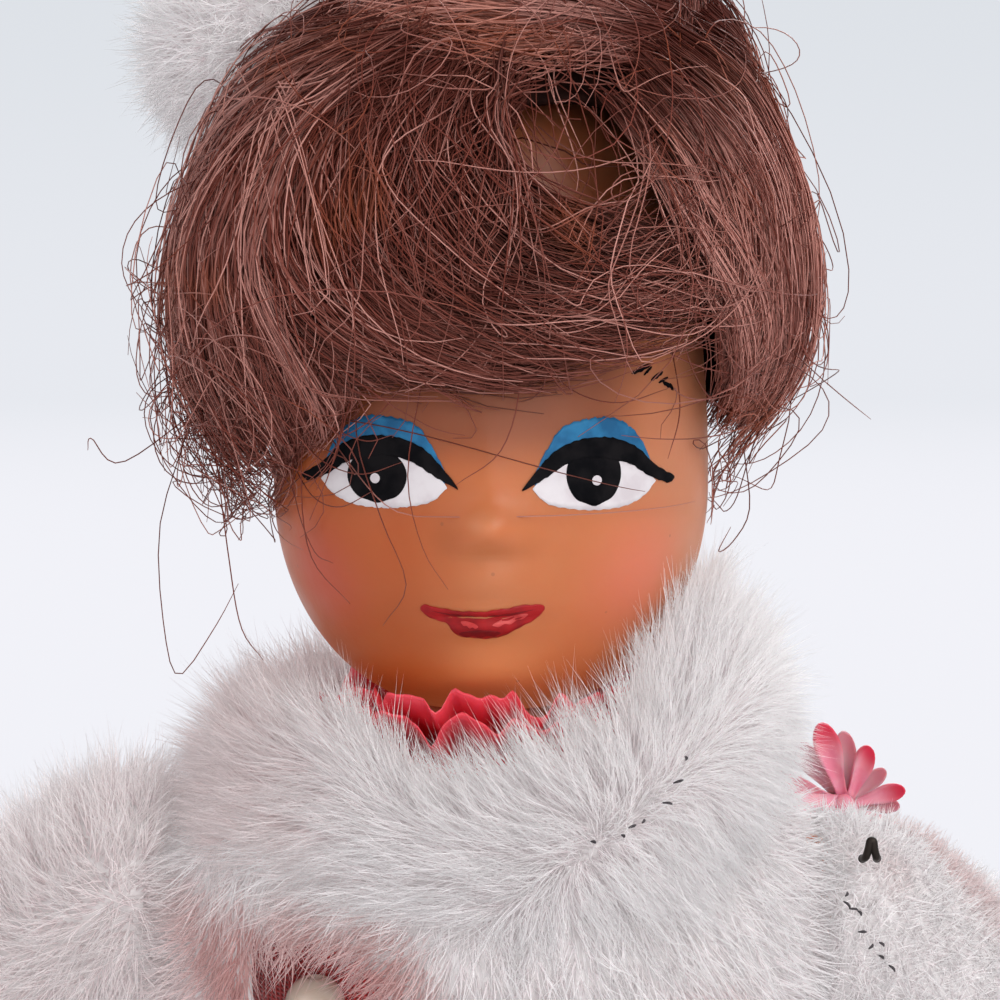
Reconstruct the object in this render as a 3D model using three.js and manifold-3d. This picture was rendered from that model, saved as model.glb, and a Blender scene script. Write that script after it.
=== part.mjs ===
// A craft doll: vinyl head with a bouffant wig, fur coat, plastic body, and a skirt
// of beaded safety pins hung on three wire rings.
// Millimetres, +Z up, the doll faces -Y, left and right are the doll's own (left is +X).
import * as THREE from "three";
import { mergeVertices } from "three/addons/utils/BufferGeometryUtils.js";
import Module from "manifold-3d";

const wasm = await Module();
wasm.setup();

// Safety pins
const PIN_LENGTH = 38;
const PIN_WIRE = 0.8;
const COIL_TURN_GAP = 0.45;
const CAP_WIDTH = 6.6;
const CAP_HEIGHT = 7;
const CAP_THICKNESS = 2.2;
const CAP_EDGE = 1.3;
const BEADS_PER_PIN = 4;
const UPPER_BEAD = 5.2;
const LOWER_BEAD = 4.8;
const BEAD_NECK_SHARE = 0.6;

// Skirt
const UPPER_PINS = 11;
const LOWER_PINS = 22;
const UPPER_FLARE = THREE.MathUtils.degToRad(14);
const LOWER_FLARE = THREE.MathUtils.degToRad(15);
const RING_WIRE = 1.2;
const RING_PLAY = 0.5;

// Body, with heights counted from the waist
const WAIST_RADIUS = 10.1;
const HIP_HALF_WIDTH = 10.9;
const HIP_DROP = 7;
const SEAT_DROP = 12;
const CHEST_HALF_WIDTH = 12.2;
const CHEST_HALF_DEPTH = 8.4;
const SHOULDER_HALF_WIDTH = 12.7;
const SHOULDER_RISE = 17.5;
const CHIN_RISE = 26.6;
const NECK_RADIUS = 3.5;
const BODY_WALL = 1.5;
const MOULD_GAP = 0.2;
const LEG_SPACING = 10.6;
const THIGH_RADIUS = 4.8;
const KNEE_RADIUS = 3.6;
const ANKLE_RADIUS = 2.7;
const SHOE_LENGTH = 13;
const SHOE_WIDTH = 6.6;
const SHOE_HEIGHT = 5;

// Arms
const ARM_DROP = THREE.MathUtils.degToRad(44);
const ARM_BALL_RADIUS = 3.4;
const ARM_LENGTH = 31;
const WRIST_RADIUS = 1.9;
const HAND_LENGTH = 8;
const ARM_PEG_RADIUS = 1.6;
const ARM_PEG_HEAD = 2.7;

// Head
const HEAD_HALF_WIDTH = 11.1;
const HEAD_HALF_DEPTH = 11;
const JAW_HEIGHT = 11.7;
const SKULL_HEIGHT = 16.5;
const HEAD_WALL = 1.5;
const NOSE_OUT = 1.1;

// Clothes
const CLOTH = 0.5;
const CAPE_HALF_WIDTH = 16.4;
const CAPE_HALF_DEPTH = 13;
const CAPE_HEM_RISE = 10;
const COAT_OPENING_WIDTH = 15;
const COAT_OPENING_HEIGHT = 7;
const COAT_OPENING_X = -5.6;
const ARMHOLE_ROOM = 1.5;
const SLEEVE_RADIUS = 7;
const SLEEVE_LENGTH = 24;
const COLLAR_RADIUS = 5.4;
const RUFFLE_RADIUS = 8.6;
const RUFFLE_PETALS = 9;
const BUTTON_RADIUS = 1.5;
const HAT_RADIUS = 12;
const FLOWER_RADIUS = 5.7;
const FLOWER_PETALS = 8;
const HOOK_WIRE = 0.7;

// Fits
const SMALLEST_FACET = 0.04;
const FIT = 0.3;
const TURN_FIT = 0.5;

// Sizes that follow from those above
const coilInner = RING_WIRE / 2 + RING_PLAY;
const coilMean = coilInner + PIN_WIRE / 2;
const coilOuter = coilInner + PIN_WIRE;
const capHole = RING_WIRE / 2 + RING_PLAY;
const capHoleFromEnd = capHole + CAP_EDGE;
const ringToRing = PIN_LENGTH - coilOuter - capHoleFromEnd;
const bodiceRadius = WAIST_RADIUS + FIT + CLOTH;
const waistRing = bodiceRadius + FIT + coilOuter;
const middleRing = waistRing + ringToRing * Math.sin(UPPER_FLARE);
const hemRing = middleRing + ringToRing * Math.sin(LOWER_FLARE);

const object = new THREE.Group();
object.name = "safety_pin_doll";

const COLOURS = {
  vinyl: 0xc8835f,
  plastic: 0xd8a17f,
  hair: 0x6e4038,
  fur: 0xe8e3e0,
  red_cloth: 0xb0201f,
  pink_plastic: 0xee8ea6,
  pearl: 0xe9d9c3,
  steel: 0xb9bcc0,
  dark_steel: 0x2c2726,
  ring_steel: 0xa9adb2,
};

function add(name, geometry, colour) {
  const material = new THREE.MeshStandardMaterial({ color: COLOURS[colour] });
  material.name = colour;
  const mesh = new THREE.Mesh(geometry, material);
  mesh.name = name;
  object.add(mesh);
  return mesh;
}

function toSolid(geometry) {
  const bare = geometry.clone();
  bare.deleteAttribute("normal");
  bare.deleteAttribute("uv");
  const merged = mergeVertices(bare, 1e-4);
  const mesh = new wasm.Mesh({
    numProp: 3,
    vertProperties: new Float32Array(merged.attributes.position.array),
    triVerts: new Uint32Array(merged.index.array),
  });
  return new wasm.Manifold(mesh);
}

function toGeometry(solid) {
  const mesh = solid.simplify(SMALLEST_FACET).getMesh();
  const geometry = new THREE.BufferGeometry();
  geometry.setAttribute("position", new THREE.BufferAttribute(mesh.vertProperties, 3));
  geometry.setIndex(new THREE.BufferAttribute(mesh.triVerts, 1));
  geometry.computeVertexNormals();
  return geometry;
}

// Skins a stack of closed loops with the same number of points, and closes both ends.
function loft(loops) {
  const count = loops[0].length;
  const points = [];
  const faces = [];
  for (const loop of loops) {
    for (const point of loop) {
      points.push(point.x, point.y, point.z);
    }
  }
  for (let row = 0; row < loops.length - 1; row += 1) {
    for (let i = 0; i < count; i += 1) {
      const next = (i + 1) % count;
      const a = row * count + i;
      const b = row * count + next;
      faces.push(a, b, b + count, a, b + count, a + count);
    }
  }
  const centre = (loop) => {
    const sum = new THREE.Vector3();
    loop.forEach((point) => sum.add(point));
    return sum.divideScalar(count);
  };
  const first = centre(loops[0]);
  const last = centre(loops[loops.length - 1]);
  const firstIndex = points.length / 3;
  points.push(first.x, first.y, first.z, last.x, last.y, last.z);
  const top = (loops.length - 1) * count;
  for (let i = 0; i < count; i += 1) {
    const next = (i + 1) % count;
    faces.push(firstIndex, next, i);
    faces.push(firstIndex + 1, top + i, top + next);
  }
  const geometry = new THREE.BufferGeometry();
  geometry.setAttribute("position", new THREE.Float32BufferAttribute(points, 3));
  geometry.setIndex(faces);
  geometry.computeVertexNormals();
  return geometry;
}

// A level loop, seen from above, of an oval with the given half sizes.
function oval(z, halfWidth, halfDepth, sides, x = 0, y = 0) {
  const loop = [];
  for (let i = 0; i < sides; i += 1) {
    const angle = (i / sides) * Math.PI * 2;
    loop.push(new THREE.Vector3(x + halfWidth * Math.cos(angle), y + halfDepth * Math.sin(angle), z));
  }
  return loop;
}

// A round tube of changing radius along a line of points.
function tube(points, radii, sides) {
  const loops = [];
  let across = null;
  points.forEach((point, i) => {
    const before = points[Math.max(i - 1, 0)];
    const after = points[Math.min(i + 1, points.length - 1)];
    const along = after.clone().sub(before).normalize();
    if (across === null) {
      const helper = Math.abs(along.y) < 0.9 ? new THREE.Vector3(0, 1, 0) : new THREE.Vector3(1, 0, 0);
      across = helper.cross(along).normalize();
    }
    across = across.clone().addScaledVector(along, -across.dot(along)).normalize();
    const third = along.clone().cross(across);
    const loop = [];
    for (let k = 0; k < sides; k += 1) {
      const angle = (k / sides) * Math.PI * 2;
      loop.push(
        point
          .clone()
          .addScaledVector(across, radii[i] * Math.cos(angle))
          .addScaledVector(third, radii[i] * Math.sin(angle)),
      );
    }
    loops.push(loop);
  });
  return loft(loops);
}

function ellipsoid(centre, radii, tilt = 0, wide = 20, tall = 12) {
  const geometry = new THREE.SphereGeometry(1, wide, tall);
  geometry.rotateX(Math.PI / 2);
  geometry.scale(radii[0], radii[1], radii[2]);
  geometry.rotateY(tilt);
  geometry.translate(centre[0], centre[1], centre[2]);
  return geometry;
}

function cylinderAlongX(radius, fromX, toX, z, sides = 12) {
  const geometry = new THREE.CylinderGeometry(radius, radius, toX - fromX, sides);
  geometry.rotateZ(Math.PI / 2);
  geometry.translate((fromX + toX) / 2, 0, z);
  return geometry;
}

function box(from, to) {
  const geometry = new THREE.BoxGeometry(to[0] - from[0], to[1] - from[1], to[2] - from[2]);
  geometry.translate((from[0] + to[0]) / 2, (from[1] + to[1]) / 2, (from[2] + to[2]) / 2);
  return geometry;
}

function joined(geometries) {
  return geometries.map(toSolid).reduce((whole, piece) => whole.add(piece));
}

// What is left of a cut shape without the crumbs at its edges.
function largest(solid) {
  return solid.decompose().sort((a, b) => b.volume() - a.volume())[0];
}

// The least gap between one turn of a pin's coil and the next, measured on points along it.
function leastCoilGap(turns, halfSpan) {
  const perTurn = 48;
  const count = Math.round(turns * perTurn);
  const at = (i) => {
    const angle = (i / perTurn) * Math.PI * 2;
    const side = -halfSpan + (i / count) * halfSpan * 2;
    return new THREE.Vector3(coilMean * Math.cos(angle), side, coilMean * Math.sin(angle));
  };
  let least = Infinity;
  for (let i = 0; i <= count; i += 1) {
    for (let k = i + perTurn / 2; k <= count; k += 1) {
      least = Math.min(least, at(i).distanceTo(at(k)) - PIN_WIRE);
    }
  }
  return least;
}

// One safety pin, hung by its coil at the origin, needle arm with the beads on +X.
function safetyPin(beadDiameter) {
  const turns = 1.5;
  const halfSpan = ((PIN_WIRE + COIL_TURN_GAP) * turns) / 2;
  const armSpread = CAP_WIDTH / 2 - PIN_WIRE * 1.4;
  const capEnd = -(PIN_LENGTH - coilOuter);
  const capTop = capEnd + CAP_HEIGHT;
  const wire = [new THREE.Vector3(-armSpread, 0, capTop - CAP_HEIGHT / 4)];
  const steps = turns * 6;
  for (let i = 0; i <= steps; i += 1) {
    const angle = Math.PI - (i / steps) * turns * Math.PI * 2;
    const side = -halfSpan + (i / steps) * halfSpan * 2;
    wire.push(new THREE.Vector3(coilMean * Math.cos(angle), side, coilMean * Math.sin(angle)));
  }
  wire.push(new THREE.Vector3(armSpread, 0, capTop - CAP_HEIGHT / 4));
  const pin = toSolid(tube(wire, wire.map(() => PIN_WIRE / 2), 4));
  console.log(`pin coil, least gap to itself: ${leastCoilGap(turns, halfSpan).toFixed(2)} mm`);

  const shoulder = CAP_WIDTH * 0.46;
  const outline = new THREE.Shape();
  outline.moveTo(-CAP_WIDTH / 2, capTop);
  outline.lineTo(-CAP_WIDTH / 2, capEnd + shoulder);
  for (let i = 1; i < 4; i += 1) {
    const angle = Math.PI + (i / 4) * Math.PI;
    outline.lineTo((CAP_WIDTH / 2) * Math.cos(angle), capEnd + shoulder + shoulder * Math.sin(angle) * 1.05);
  }
  outline.lineTo(CAP_WIDTH / 2, capEnd + shoulder);
  outline.lineTo(CAP_WIDTH / 2, capTop);
  const hole = new THREE.Path();
  for (let i = 0; i < 6; i += 1) {
    const angle = -(i / 6) * Math.PI * 2;
    const corner = new THREE.Vector2(capHole * Math.cos(angle), capHole * Math.sin(angle) - ringToRing);
    if (i === 0) hole.moveTo(corner.x, corner.y);
    else hole.lineTo(corner.x, corner.y);
  }
  hole.closePath();
  outline.holes.push(hole);
  const cap = new THREE.ExtrudeGeometry(outline, { depth: CAP_THICKNESS, bevelEnabled: false });
  cap.rotateX(Math.PI / 2);
  cap.translate(0, CAP_THICKNESS / 2, 0);

  const needleTop = wire[wire.length - 2];
  const needleEnd = wire[wire.length - 1];
  const onNeedle = (z) => needleTop.clone().lerp(needleEnd, (needleTop.z - z) / (needleTop.z - needleEnd.z));
  const beadsTop = -coilOuter - 1;
  const beadsEnd = capTop + FIT;
  const pitch = (beadsTop - beadsEnd) / BEADS_PER_PIN;
  const spine = [];
  const radii = [];
  for (let i = 0; i < BEADS_PER_PIN; i += 1) {
    const top = beadsTop - pitch * i;
    spine.push(onNeedle(top), onNeedle(top - pitch / 2));
    radii.push((beadDiameter / 2) * BEAD_NECK_SHARE, beadDiameter / 2);
  }
  spine.push(onNeedle(beadsEnd));
  radii.push((beadDiameter / 2) * BEAD_NECK_SHARE);
  const beads = tube(spine, radii, 5);
  return toGeometry(pin.add(toSolid(cap)).add(toSolid(beads)));
}

function lean(geometry, flare) {
  return geometry.clone().rotateY(-flare);
}

const upperPin = lean(safetyPin(UPPER_BEAD), UPPER_FLARE);
const lowerPin = lean(safetyPin(LOWER_BEAD), LOWER_FLARE);
lowerPin.computeBoundingBox();
const middleZ = -lowerPin.boundingBox.min.z;
const waistZ = middleZ + ringToRing * Math.cos(UPPER_FLARE);
const hemZ = middleZ - ringToRing * Math.cos(LOWER_FLARE);
const up = (rise) => waistZ + rise;

function wireRing(name, radius, z, steps) {
  const ring = new THREE.TorusGeometry(radius, RING_WIRE / 2, 5, steps);
  ring.translate(0, 0, z);
  add(name, ring, "ring_steel");
}

wireRing("waist_ring", waistRing, waistZ, 28);
wireRing("middle_ring", middleRing, middleZ, 36);
wireRing("hem_ring", hemRing, hemZ, 40);

function tier(name, geometry, count, radius, z, offset) {
  for (let i = 0; i < count; i += 1) {
    const angle = ((i + offset) / count) * Math.PI * 2 - Math.PI / 2;
    const pin = add(`${name}_${String(i + 1).padStart(2, "0")}`, geometry, "steel");
    pin.position.set(radius * Math.cos(angle), radius * Math.sin(angle), z);
    pin.rotation.z = angle;
  }
}

tier("upper_pin", upperPin, UPPER_PINS, waistRing, waistZ, 0);
tier("lower_pin", lowerPin, LOWER_PINS, middleRing, middleZ, 0.5);

// Half width and half depth of the torso at a height above the waist.
const torsoLevels = [
  [-SEAT_DROP, HIP_HALF_WIDTH * 0.78, HIP_HALF_WIDTH * 0.7],
  [-HIP_DROP, HIP_HALF_WIDTH, HIP_HALF_WIDTH * 0.9],
  [-1.5, WAIST_RADIUS, WAIST_RADIUS],
  [1.5, WAIST_RADIUS, WAIST_RADIUS],
  [SHOULDER_RISE * 0.48, (WAIST_RADIUS + CHEST_HALF_WIDTH) / 2, CHEST_HALF_DEPTH * 1.08],
  [SHOULDER_RISE * 0.8, CHEST_HALF_WIDTH, CHEST_HALF_DEPTH],
  [SHOULDER_RISE + 1.5, SHOULDER_HALF_WIDTH, CHEST_HALF_DEPTH * 0.84],
  [SHOULDER_RISE + 4.3, SHOULDER_HALF_WIDTH * 0.68, CHEST_HALF_DEPTH * 0.66],
  [SHOULDER_RISE + 6, NECK_RADIUS + 1.6, NECK_RADIUS + 1.4],
];
function torsoAt(rise) {
  const index = torsoLevels.findIndex((level) => level[0] >= rise);
  if (index === 0) return torsoLevels[0].slice(1);
  if (index < 0) return torsoLevels[torsoLevels.length - 1].slice(1);
  const low = torsoLevels[index - 1];
  const high = torsoLevels[index];
  const share = (rise - low[0]) / (high[0] - low[0]);
  return [1, 2].map((column) => low[column] + (high[column] - low[column]) * share);
}

// Torso between two heights, grown or shrunk all round by one amount.
function torso(grow, fromRise, toRise) {
  const between = torsoLevels.map((level) => level[0]).filter((rise) => rise > fromRise + 0.2 && rise < toRise - 0.2);
  const loops = [fromRise, ...between, toRise].map((rise) => {
    const [halfWidth, halfDepth] = torsoAt(rise);
    return oval(up(rise), halfWidth + grow, halfDepth + grow, 16);
  });
  return loft(loops);
}

const headZ = up(CHIN_RISE) + JAW_HEIGHT;
const neckSeatZ = headZ - Math.sqrt(1 - (NECK_RADIUS + TURN_FIT) ** 2 / HEAD_HALF_DEPTH ** 2) * JAW_HEIGHT;
const knobZ = neckSeatZ + HEAD_WALL + 1.2;
const shoulderZ = up(SHOULDER_RISE);
const neckBaseRise = SHOULDER_RISE + 6;

function leg(side) {
  const x = (side * LEG_SPACING) / 2;
  const shoeY = -(SHOE_LENGTH / 2 - ANKLE_RADIUS - 1);
  const hip = up(-SEAT_DROP);
  const knee = hip * 0.56;
  return loft([
    oval(0, SHOE_WIDTH / 2, SHOE_LENGTH / 2, 9, x, shoeY),
    oval(SHOE_HEIGHT * 0.5, SHOE_WIDTH / 2, SHOE_LENGTH / 2, 9, x, shoeY),
    oval(SHOE_HEIGHT * 0.8, SHOE_WIDTH * 0.44, SHOE_LENGTH * 0.42, 9, x, shoeY * 0.85),
    oval(SHOE_HEIGHT * 1.15, ANKLE_RADIUS * 1.05, ANKLE_RADIUS * 1.3, 9, x, shoeY * 0.15),
    oval(SHOE_HEIGHT * 1.7, ANKLE_RADIUS, ANKLE_RADIUS, 9, x, 0),
    oval(knee * 0.66, (KNEE_RADIUS + THIGH_RADIUS) / 2, (KNEE_RADIUS + THIGH_RADIUS) / 2, 9, x, 0.4),
    oval(knee, KNEE_RADIUS, KNEE_RADIUS, 9, x, 0),
    oval(hip * 0.84, THIGH_RADIUS, THIGH_RADIUS, 9, x, 0),
    oval(hip + SEAT_DROP * 0.4, THIGH_RADIUS, THIGH_RADIUS * 1.1, 9, x, 0),
  ]);
}

function neck() {
  const profile = [
    new THREE.Vector2(0, up(neckBaseRise) - 2),
    new THREE.Vector2(NECK_RADIUS + 1.2, up(neckBaseRise) - 2),
    new THREE.Vector2(NECK_RADIUS + 1.2, neckSeatZ - 1.2),
    new THREE.Vector2(NECK_RADIUS, neckSeatZ - 0.6),
    new THREE.Vector2(NECK_RADIUS, knobZ),
    new THREE.Vector2(NECK_RADIUS + 1.4, knobZ + 0.6),
    new THREE.Vector2(NECK_RADIUS + 1.1, knobZ + 2),
    new THREE.Vector2(0, knobZ + 2.8),
  ];
  const geometry = new THREE.LatheGeometry(profile, 12);
  geometry.rotateX(Math.PI / 2);
  return geometry;
}

const bodySolid = joined([torso(0, -SEAT_DROP, neckBaseRise), leg(1), leg(-1), neck()])
  .subtract(toSolid(torso(-BODY_WALL, -HIP_DROP, SHOULDER_RISE + 3)))
  .subtract(
    toSolid(cylinderAlongX(ARM_PEG_RADIUS + FIT, -SHOULDER_HALF_WIDTH * 1.2, SHOULDER_HALF_WIDTH * 1.2, shoulderZ)),
  );
const reach = PIN_LENGTH * 6;
const frontSide = toSolid(box([-reach, -reach, -reach], [reach, -MOULD_GAP / 2, reach]));
const backSide = toSolid(box([-reach, MOULD_GAP / 2, -reach], [reach, reach, reach]));
add("body_front", toGeometry(bodySolid.intersect(frontSide)), "plastic");
add("body_back", toGeometry(bodySolid.intersect(backSide)), "plastic");

// Head: an egg on a round jaw, with a button nose, full lips and cheeks.
function headPoint(level, angle, grow, turned) {
  const height = level < 0 ? JAW_HEIGHT + grow : SKULL_HEIGHT + grow;
  const share = Math.sin((level * Math.PI) / 2);
  const girth = Math.cos((level * Math.PI) / 2) ** (level < 0 ? 1 : 0.86);
  const depth = turned ? HEAD_HALF_DEPTH + NOSE_OUT : HEAD_HALF_DEPTH;
  const width = turned ? depth : HEAD_HALF_WIDTH;
  const x = (width + grow) * girth * Math.sin(angle);
  const z = height * share;
  let y = -(depth + grow) * girth * Math.cos(angle);
  if (!turned && y < 0) {
    const bump = (cx, cz, sx, sz) => Math.exp(-(((x - cx) / sx) ** 2) - ((z - cz) / sz) ** 2);
    y -= NOSE_OUT * bump(0, -1.9, 1.9, 1.6);
    y -= NOSE_OUT * 0.5 * bump(0, -6.2, 3.4, 2.2);
    y -= NOSE_OUT * 0.3 * (bump(6.6, -4, 2.6, 2.6) + bump(-6.6, -4, 2.6, 2.6));
    y += NOSE_OUT * 0.3 * (bump(5.2, 0.6, 2.6, 2) + bump(-5.2, 0.6, 2.6, 2));
  }
  return new THREE.Vector3(x, y, headZ + z);
}

function headShape(grow, turned, sides = 26, rows = 15) {
  const loops = [];
  for (let row = 1; row < rows; row += 1) {
    const level = -1 + (2 * row) / rows;
    const loop = [];
    for (let i = 0; i < sides; i += 1) {
      loop.push(headPoint(level, (i / sides) * Math.PI * 2, grow, turned));
    }
    loops.push(loop);
  }
  return loft(loops);
}

const headSolid = toSolid(headShape(0, false));
const neckHole = new THREE.CylinderGeometry(NECK_RADIUS + TURN_FIT, NECK_RADIUS + TURN_FIT, JAW_HEIGHT, 12);
neckHole.rotateX(Math.PI / 2);
neckHole.translate(0, 0, headZ - JAW_HEIGHT);
const headShell = headSolid
  .subtract(toSolid(headShape(-HEAD_WALL, false, 12, 7)))
  .subtract(toSolid(neckHole));
add("head_shell", toGeometry(headShell), "vinyl");

// Wig: five soft masses over the head, each cut back by the larger ones.
const headClear = toSolid(headShape(FIT * 2, false, 16, 10));
const wigWidth = HEAD_HALF_WIDTH;
const wigMasses = [
  ["hair_crown", [0.03, 0.16, 1.35], [1.38, 1.24, 1.18], 0],
  ["hair_back", [0, 0.92, 0.66], [1.2, 0.66, 0.72], 0],
  ["hair_left", [1.12, 0.02, 0.82], [0.46, 0.82, 0.74], 0.12],
  ["hair_right", [-1.08, 0.02, 0.7], [0.46, 0.82, 0.74], -0.12],
  ["hair_fringe", [-0.12, -0.8, 0.86], [1.06, 0.44, 0.52], -0.2],
];
const cutters = [headClear];
let crownClear = null;
for (const [name, centre, radii, tilt] of wigMasses) {
  const middle = [centre[0] * wigWidth, centre[1] * wigWidth, headZ + centre[2] * wigWidth];
  const sizes = radii.map((radius) => radius * wigWidth);
  const grown = sizes.map((size) => size + FIT);
  let lump = toSolid(ellipsoid(middle, sizes, tilt, 14, 9));
  cutters.forEach((cutter) => {
    lump = lump.subtract(cutter);
  });
  cutters.push(toSolid(ellipsoid(middle, grown, tilt, 14, 9)));
  if (name === "hair_crown") crownClear = cutters[cutters.length - 1];
  add(name, toGeometry(lump), "hair");
}

// Fur hat at the back of the crown, tipped to the doll's right.
const hatCentre = [-0.54 * wigWidth, 0.74 * wigWidth, headZ + 2.12 * wigWidth];
const hat = toSolid(ellipsoid(hatCentre, [HAT_RADIUS, HAT_RADIUS * 0.8, HAT_RADIUS * 0.58], -0.25, 14, 9));
add("fur_hat", toGeometry(hat.subtract(crownClear).subtract(cutters[2])), "fur");

// Bodice over the torso, from under the waist ring to the shoulders.
const bodiceLow = -HIP_DROP * 0.7;
const bodiceHigh = SHOULDER_RISE + 0.6;
const armholeBar = (radius) => toSolid(cylinderAlongX(radius, -CAPE_HALF_WIDTH * 2, CAPE_HALF_WIDTH * 2, shoulderZ));
const bodice = toSolid(torso(FIT + CLOTH, bodiceLow, bodiceHigh))
  .subtract(toSolid(torso(FIT, bodiceLow - 2, bodiceHigh + 2)))
  .subtract(armholeBar(ARM_BALL_RADIUS + FIT));
add("bodice", toGeometry(bodice), "red_cloth");

// Room that the head sweeps as it turns.
const headSweep = toSolid(headShape(TURN_FIT, true, 18, 10));

// Neck ruffle of rounded petals rising from the neck.
function petalOutline(petals, inner, outer, notch, perPetal) {
  const outline = new THREE.Shape();
  const count = petals * perPetal;
  for (let i = 0; i < count; i += 1) {
    const angle = (i / count) * Math.PI * 2;
    const wave = Math.abs(Math.cos((angle * petals) / 2)) ** 0.5;
    const radius = outer * (notch + (1 - notch) * wave);
    if (i === 0) outline.moveTo(radius, 0);
    else outline.lineTo(radius * Math.cos(angle), radius * Math.sin(angle));
  }
  outline.closePath();
  if (inner > 0) {
    const hole = new THREE.Path();
    hole.absarc(0, 0, inner, 0, Math.PI * 2, true);
    outline.holes.push(hole);
  }
  return outline;
}

const ruffleInner = NECK_RADIUS + 1.2 + FIT;
const ruffle = new THREE.ExtrudeGeometry(petalOutline(RUFFLE_PETALS, ruffleInner, RUFFLE_RADIUS, 0.8, 4), {
  depth: CLOTH,
  bevelEnabled: false,
  curveSegments: 10,
});
const rufflePoints = ruffle.attributes.position;
for (let i = 0; i < rufflePoints.count; i += 1) {
  const radius = Math.hypot(rufflePoints.getX(i), rufflePoints.getY(i));
  rufflePoints.setZ(i, rufflePoints.getZ(i) + (radius - ruffleInner) * 0.36);
}
const ruffleZ = up(neckBaseRise) + FIT;
ruffle.translate(0, 0, ruffleZ);
add("neck_ruffle", toGeometry(toSolid(ruffle).subtract(headSweep)), "red_cloth");

// Fur coat body: a bell over the shoulders, cut flat where the sleeves turn against it.
const sleevePlane = CAPE_HALF_WIDTH + 0.5;
function capeShape(grow) {
  const levels = [
    [CAPE_HEM_RISE - grow, 0.94, 0.94],
    [CAPE_HEM_RISE + 3.5, 1.06, 1.02],
    [SHOULDER_RISE + 1, 1.04, 0.95],
    [SHOULDER_RISE + 4.5, 0.86, 0.8],
    [neckBaseRise + 1.5 + grow, 0.62, 0.68],
  ];
  const loops = levels.map(([rise, width, depth]) =>
    oval(up(rise), CAPE_HALF_WIDTH * width + grow, CAPE_HALF_DEPTH * depth + grow, 20),
  );
  return loft(loops);
}
const betweenSleeves = toSolid(box([-CAPE_HALF_WIDTH, -reach, -reach], [CAPE_HALF_WIDTH, reach, reach]));
const ruffleRoom = new THREE.CylinderGeometry(RUFFLE_RADIUS + FIT * 2, RUFFLE_RADIUS + FIT * 2, CHIN_RISE, 14);
ruffleRoom.rotateX(Math.PI / 2);
ruffleRoom.translate(0, 0, ruffleZ - FIT + CHIN_RISE / 2);
const openingLow = up(CAPE_HEM_RISE) - 1;
const openingHigh = up(CAPE_HEM_RISE) + COAT_OPENING_HEIGHT;
const openingOutline = new THREE.Shape([
  new THREE.Vector2(COAT_OPENING_X - COAT_OPENING_WIDTH / 2, openingLow),
  new THREE.Vector2(COAT_OPENING_X + COAT_OPENING_WIDTH / 2, openingLow),
  new THREE.Vector2(COAT_OPENING_X + COAT_OPENING_WIDTH / 4, openingHigh),
  new THREE.Vector2(COAT_OPENING_X - COAT_OPENING_WIDTH / 4, openingHigh),
]);
const coatOpening = new THREE.ExtrudeGeometry(openingOutline, { depth: CAPE_HALF_DEPTH * 2, bevelEnabled: false });
coatOpening.rotateX(Math.PI / 2);
const cape = toSolid(capeShape(0))
  .intersect(betweenSleeves)
  .subtract(toSolid(coatOpening))
  .subtract(toSolid(torso(FIT * 2 + CLOTH, -SEAT_DROP, neckBaseRise + 0.2)))
  .subtract(toSolid(neck()).add(toSolid(ruffleRoom)))
  .subtract(armholeBar(ARM_BALL_RADIUS + ARMHOLE_ROOM))
  .subtract(headSweep);
add("coat_body", toGeometry(cape), "fur");

// Fur collar: a full roll round the neck, low in front and high behind the left cheek.
function collarShape(grow) {
  const loops = [];
  const count = 22;
  const sides = 8;
  for (let i = 0; i < count; i += 1) {
    const angle = (i / count) * Math.PI * 2;
    const front = Math.cos(angle);
    const left = Math.sin(angle);
    const thick = COLLAR_RADIUS * (1 + 0.12 * Math.max(front, 0)) + grow;
    const dip = Math.max(front, 0) ** 4 * 4.3 + Math.max(-left, 0);
    const rise = SHOULDER_RISE + 5.6 - dip + Math.max(left, 0) ** 2 * 5 + Math.max(-front, 0) * 2;
    const out = new THREE.Vector3(left, -front, 0);
    const path = new THREE.Vector3(left * (CAPE_HALF_WIDTH - COLLAR_RADIUS), -front * (CAPE_HALF_DEPTH - 3.6), up(rise));
    const loop = [];
    for (let k = 0; k < sides; k += 1) {
      const turn = (k / sides) * Math.PI * 2;
      const point = path.clone().addScaledVector(out, thick * Math.cos(turn));
      point.z += (COLLAR_RADIUS + grow) * Math.sin(turn);
      loop.push(point);
    }
    loops.push(loop);
  }
  const points = [];
  const faces = [];
  loops.forEach((loop) => loop.forEach((point) => points.push(point.x, point.y, point.z)));
  for (let i = 0; i < count; i += 1) {
    for (let k = 0; k < sides; k += 1) {
      const a = i * sides + k;
      const b = i * sides + ((k + 1) % sides);
      const c = ((i + 1) % count) * sides + ((k + 1) % sides);
      const d = ((i + 1) % count) * sides + k;
      faces.push(a, c, b, a, d, c);
    }
  }
  const geometry = new THREE.BufferGeometry();
  geometry.setAttribute("position", new THREE.Float32BufferAttribute(points, 3));
  geometry.setIndex(faces);
  return geometry;
}
const collar = toSolid(collarShape(0))
  .intersect(betweenSleeves)
  .subtract(toSolid(capeShape(FIT)))
  .subtract(toSolid(neck()).add(toSolid(ruffleRoom)))
  .subtract(armholeBar(ARM_BALL_RADIUS + ARMHOLE_ROOM))
  .subtract(headSweep);
add("coat_collar", toGeometry(largest(collar)), "fur");

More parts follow.
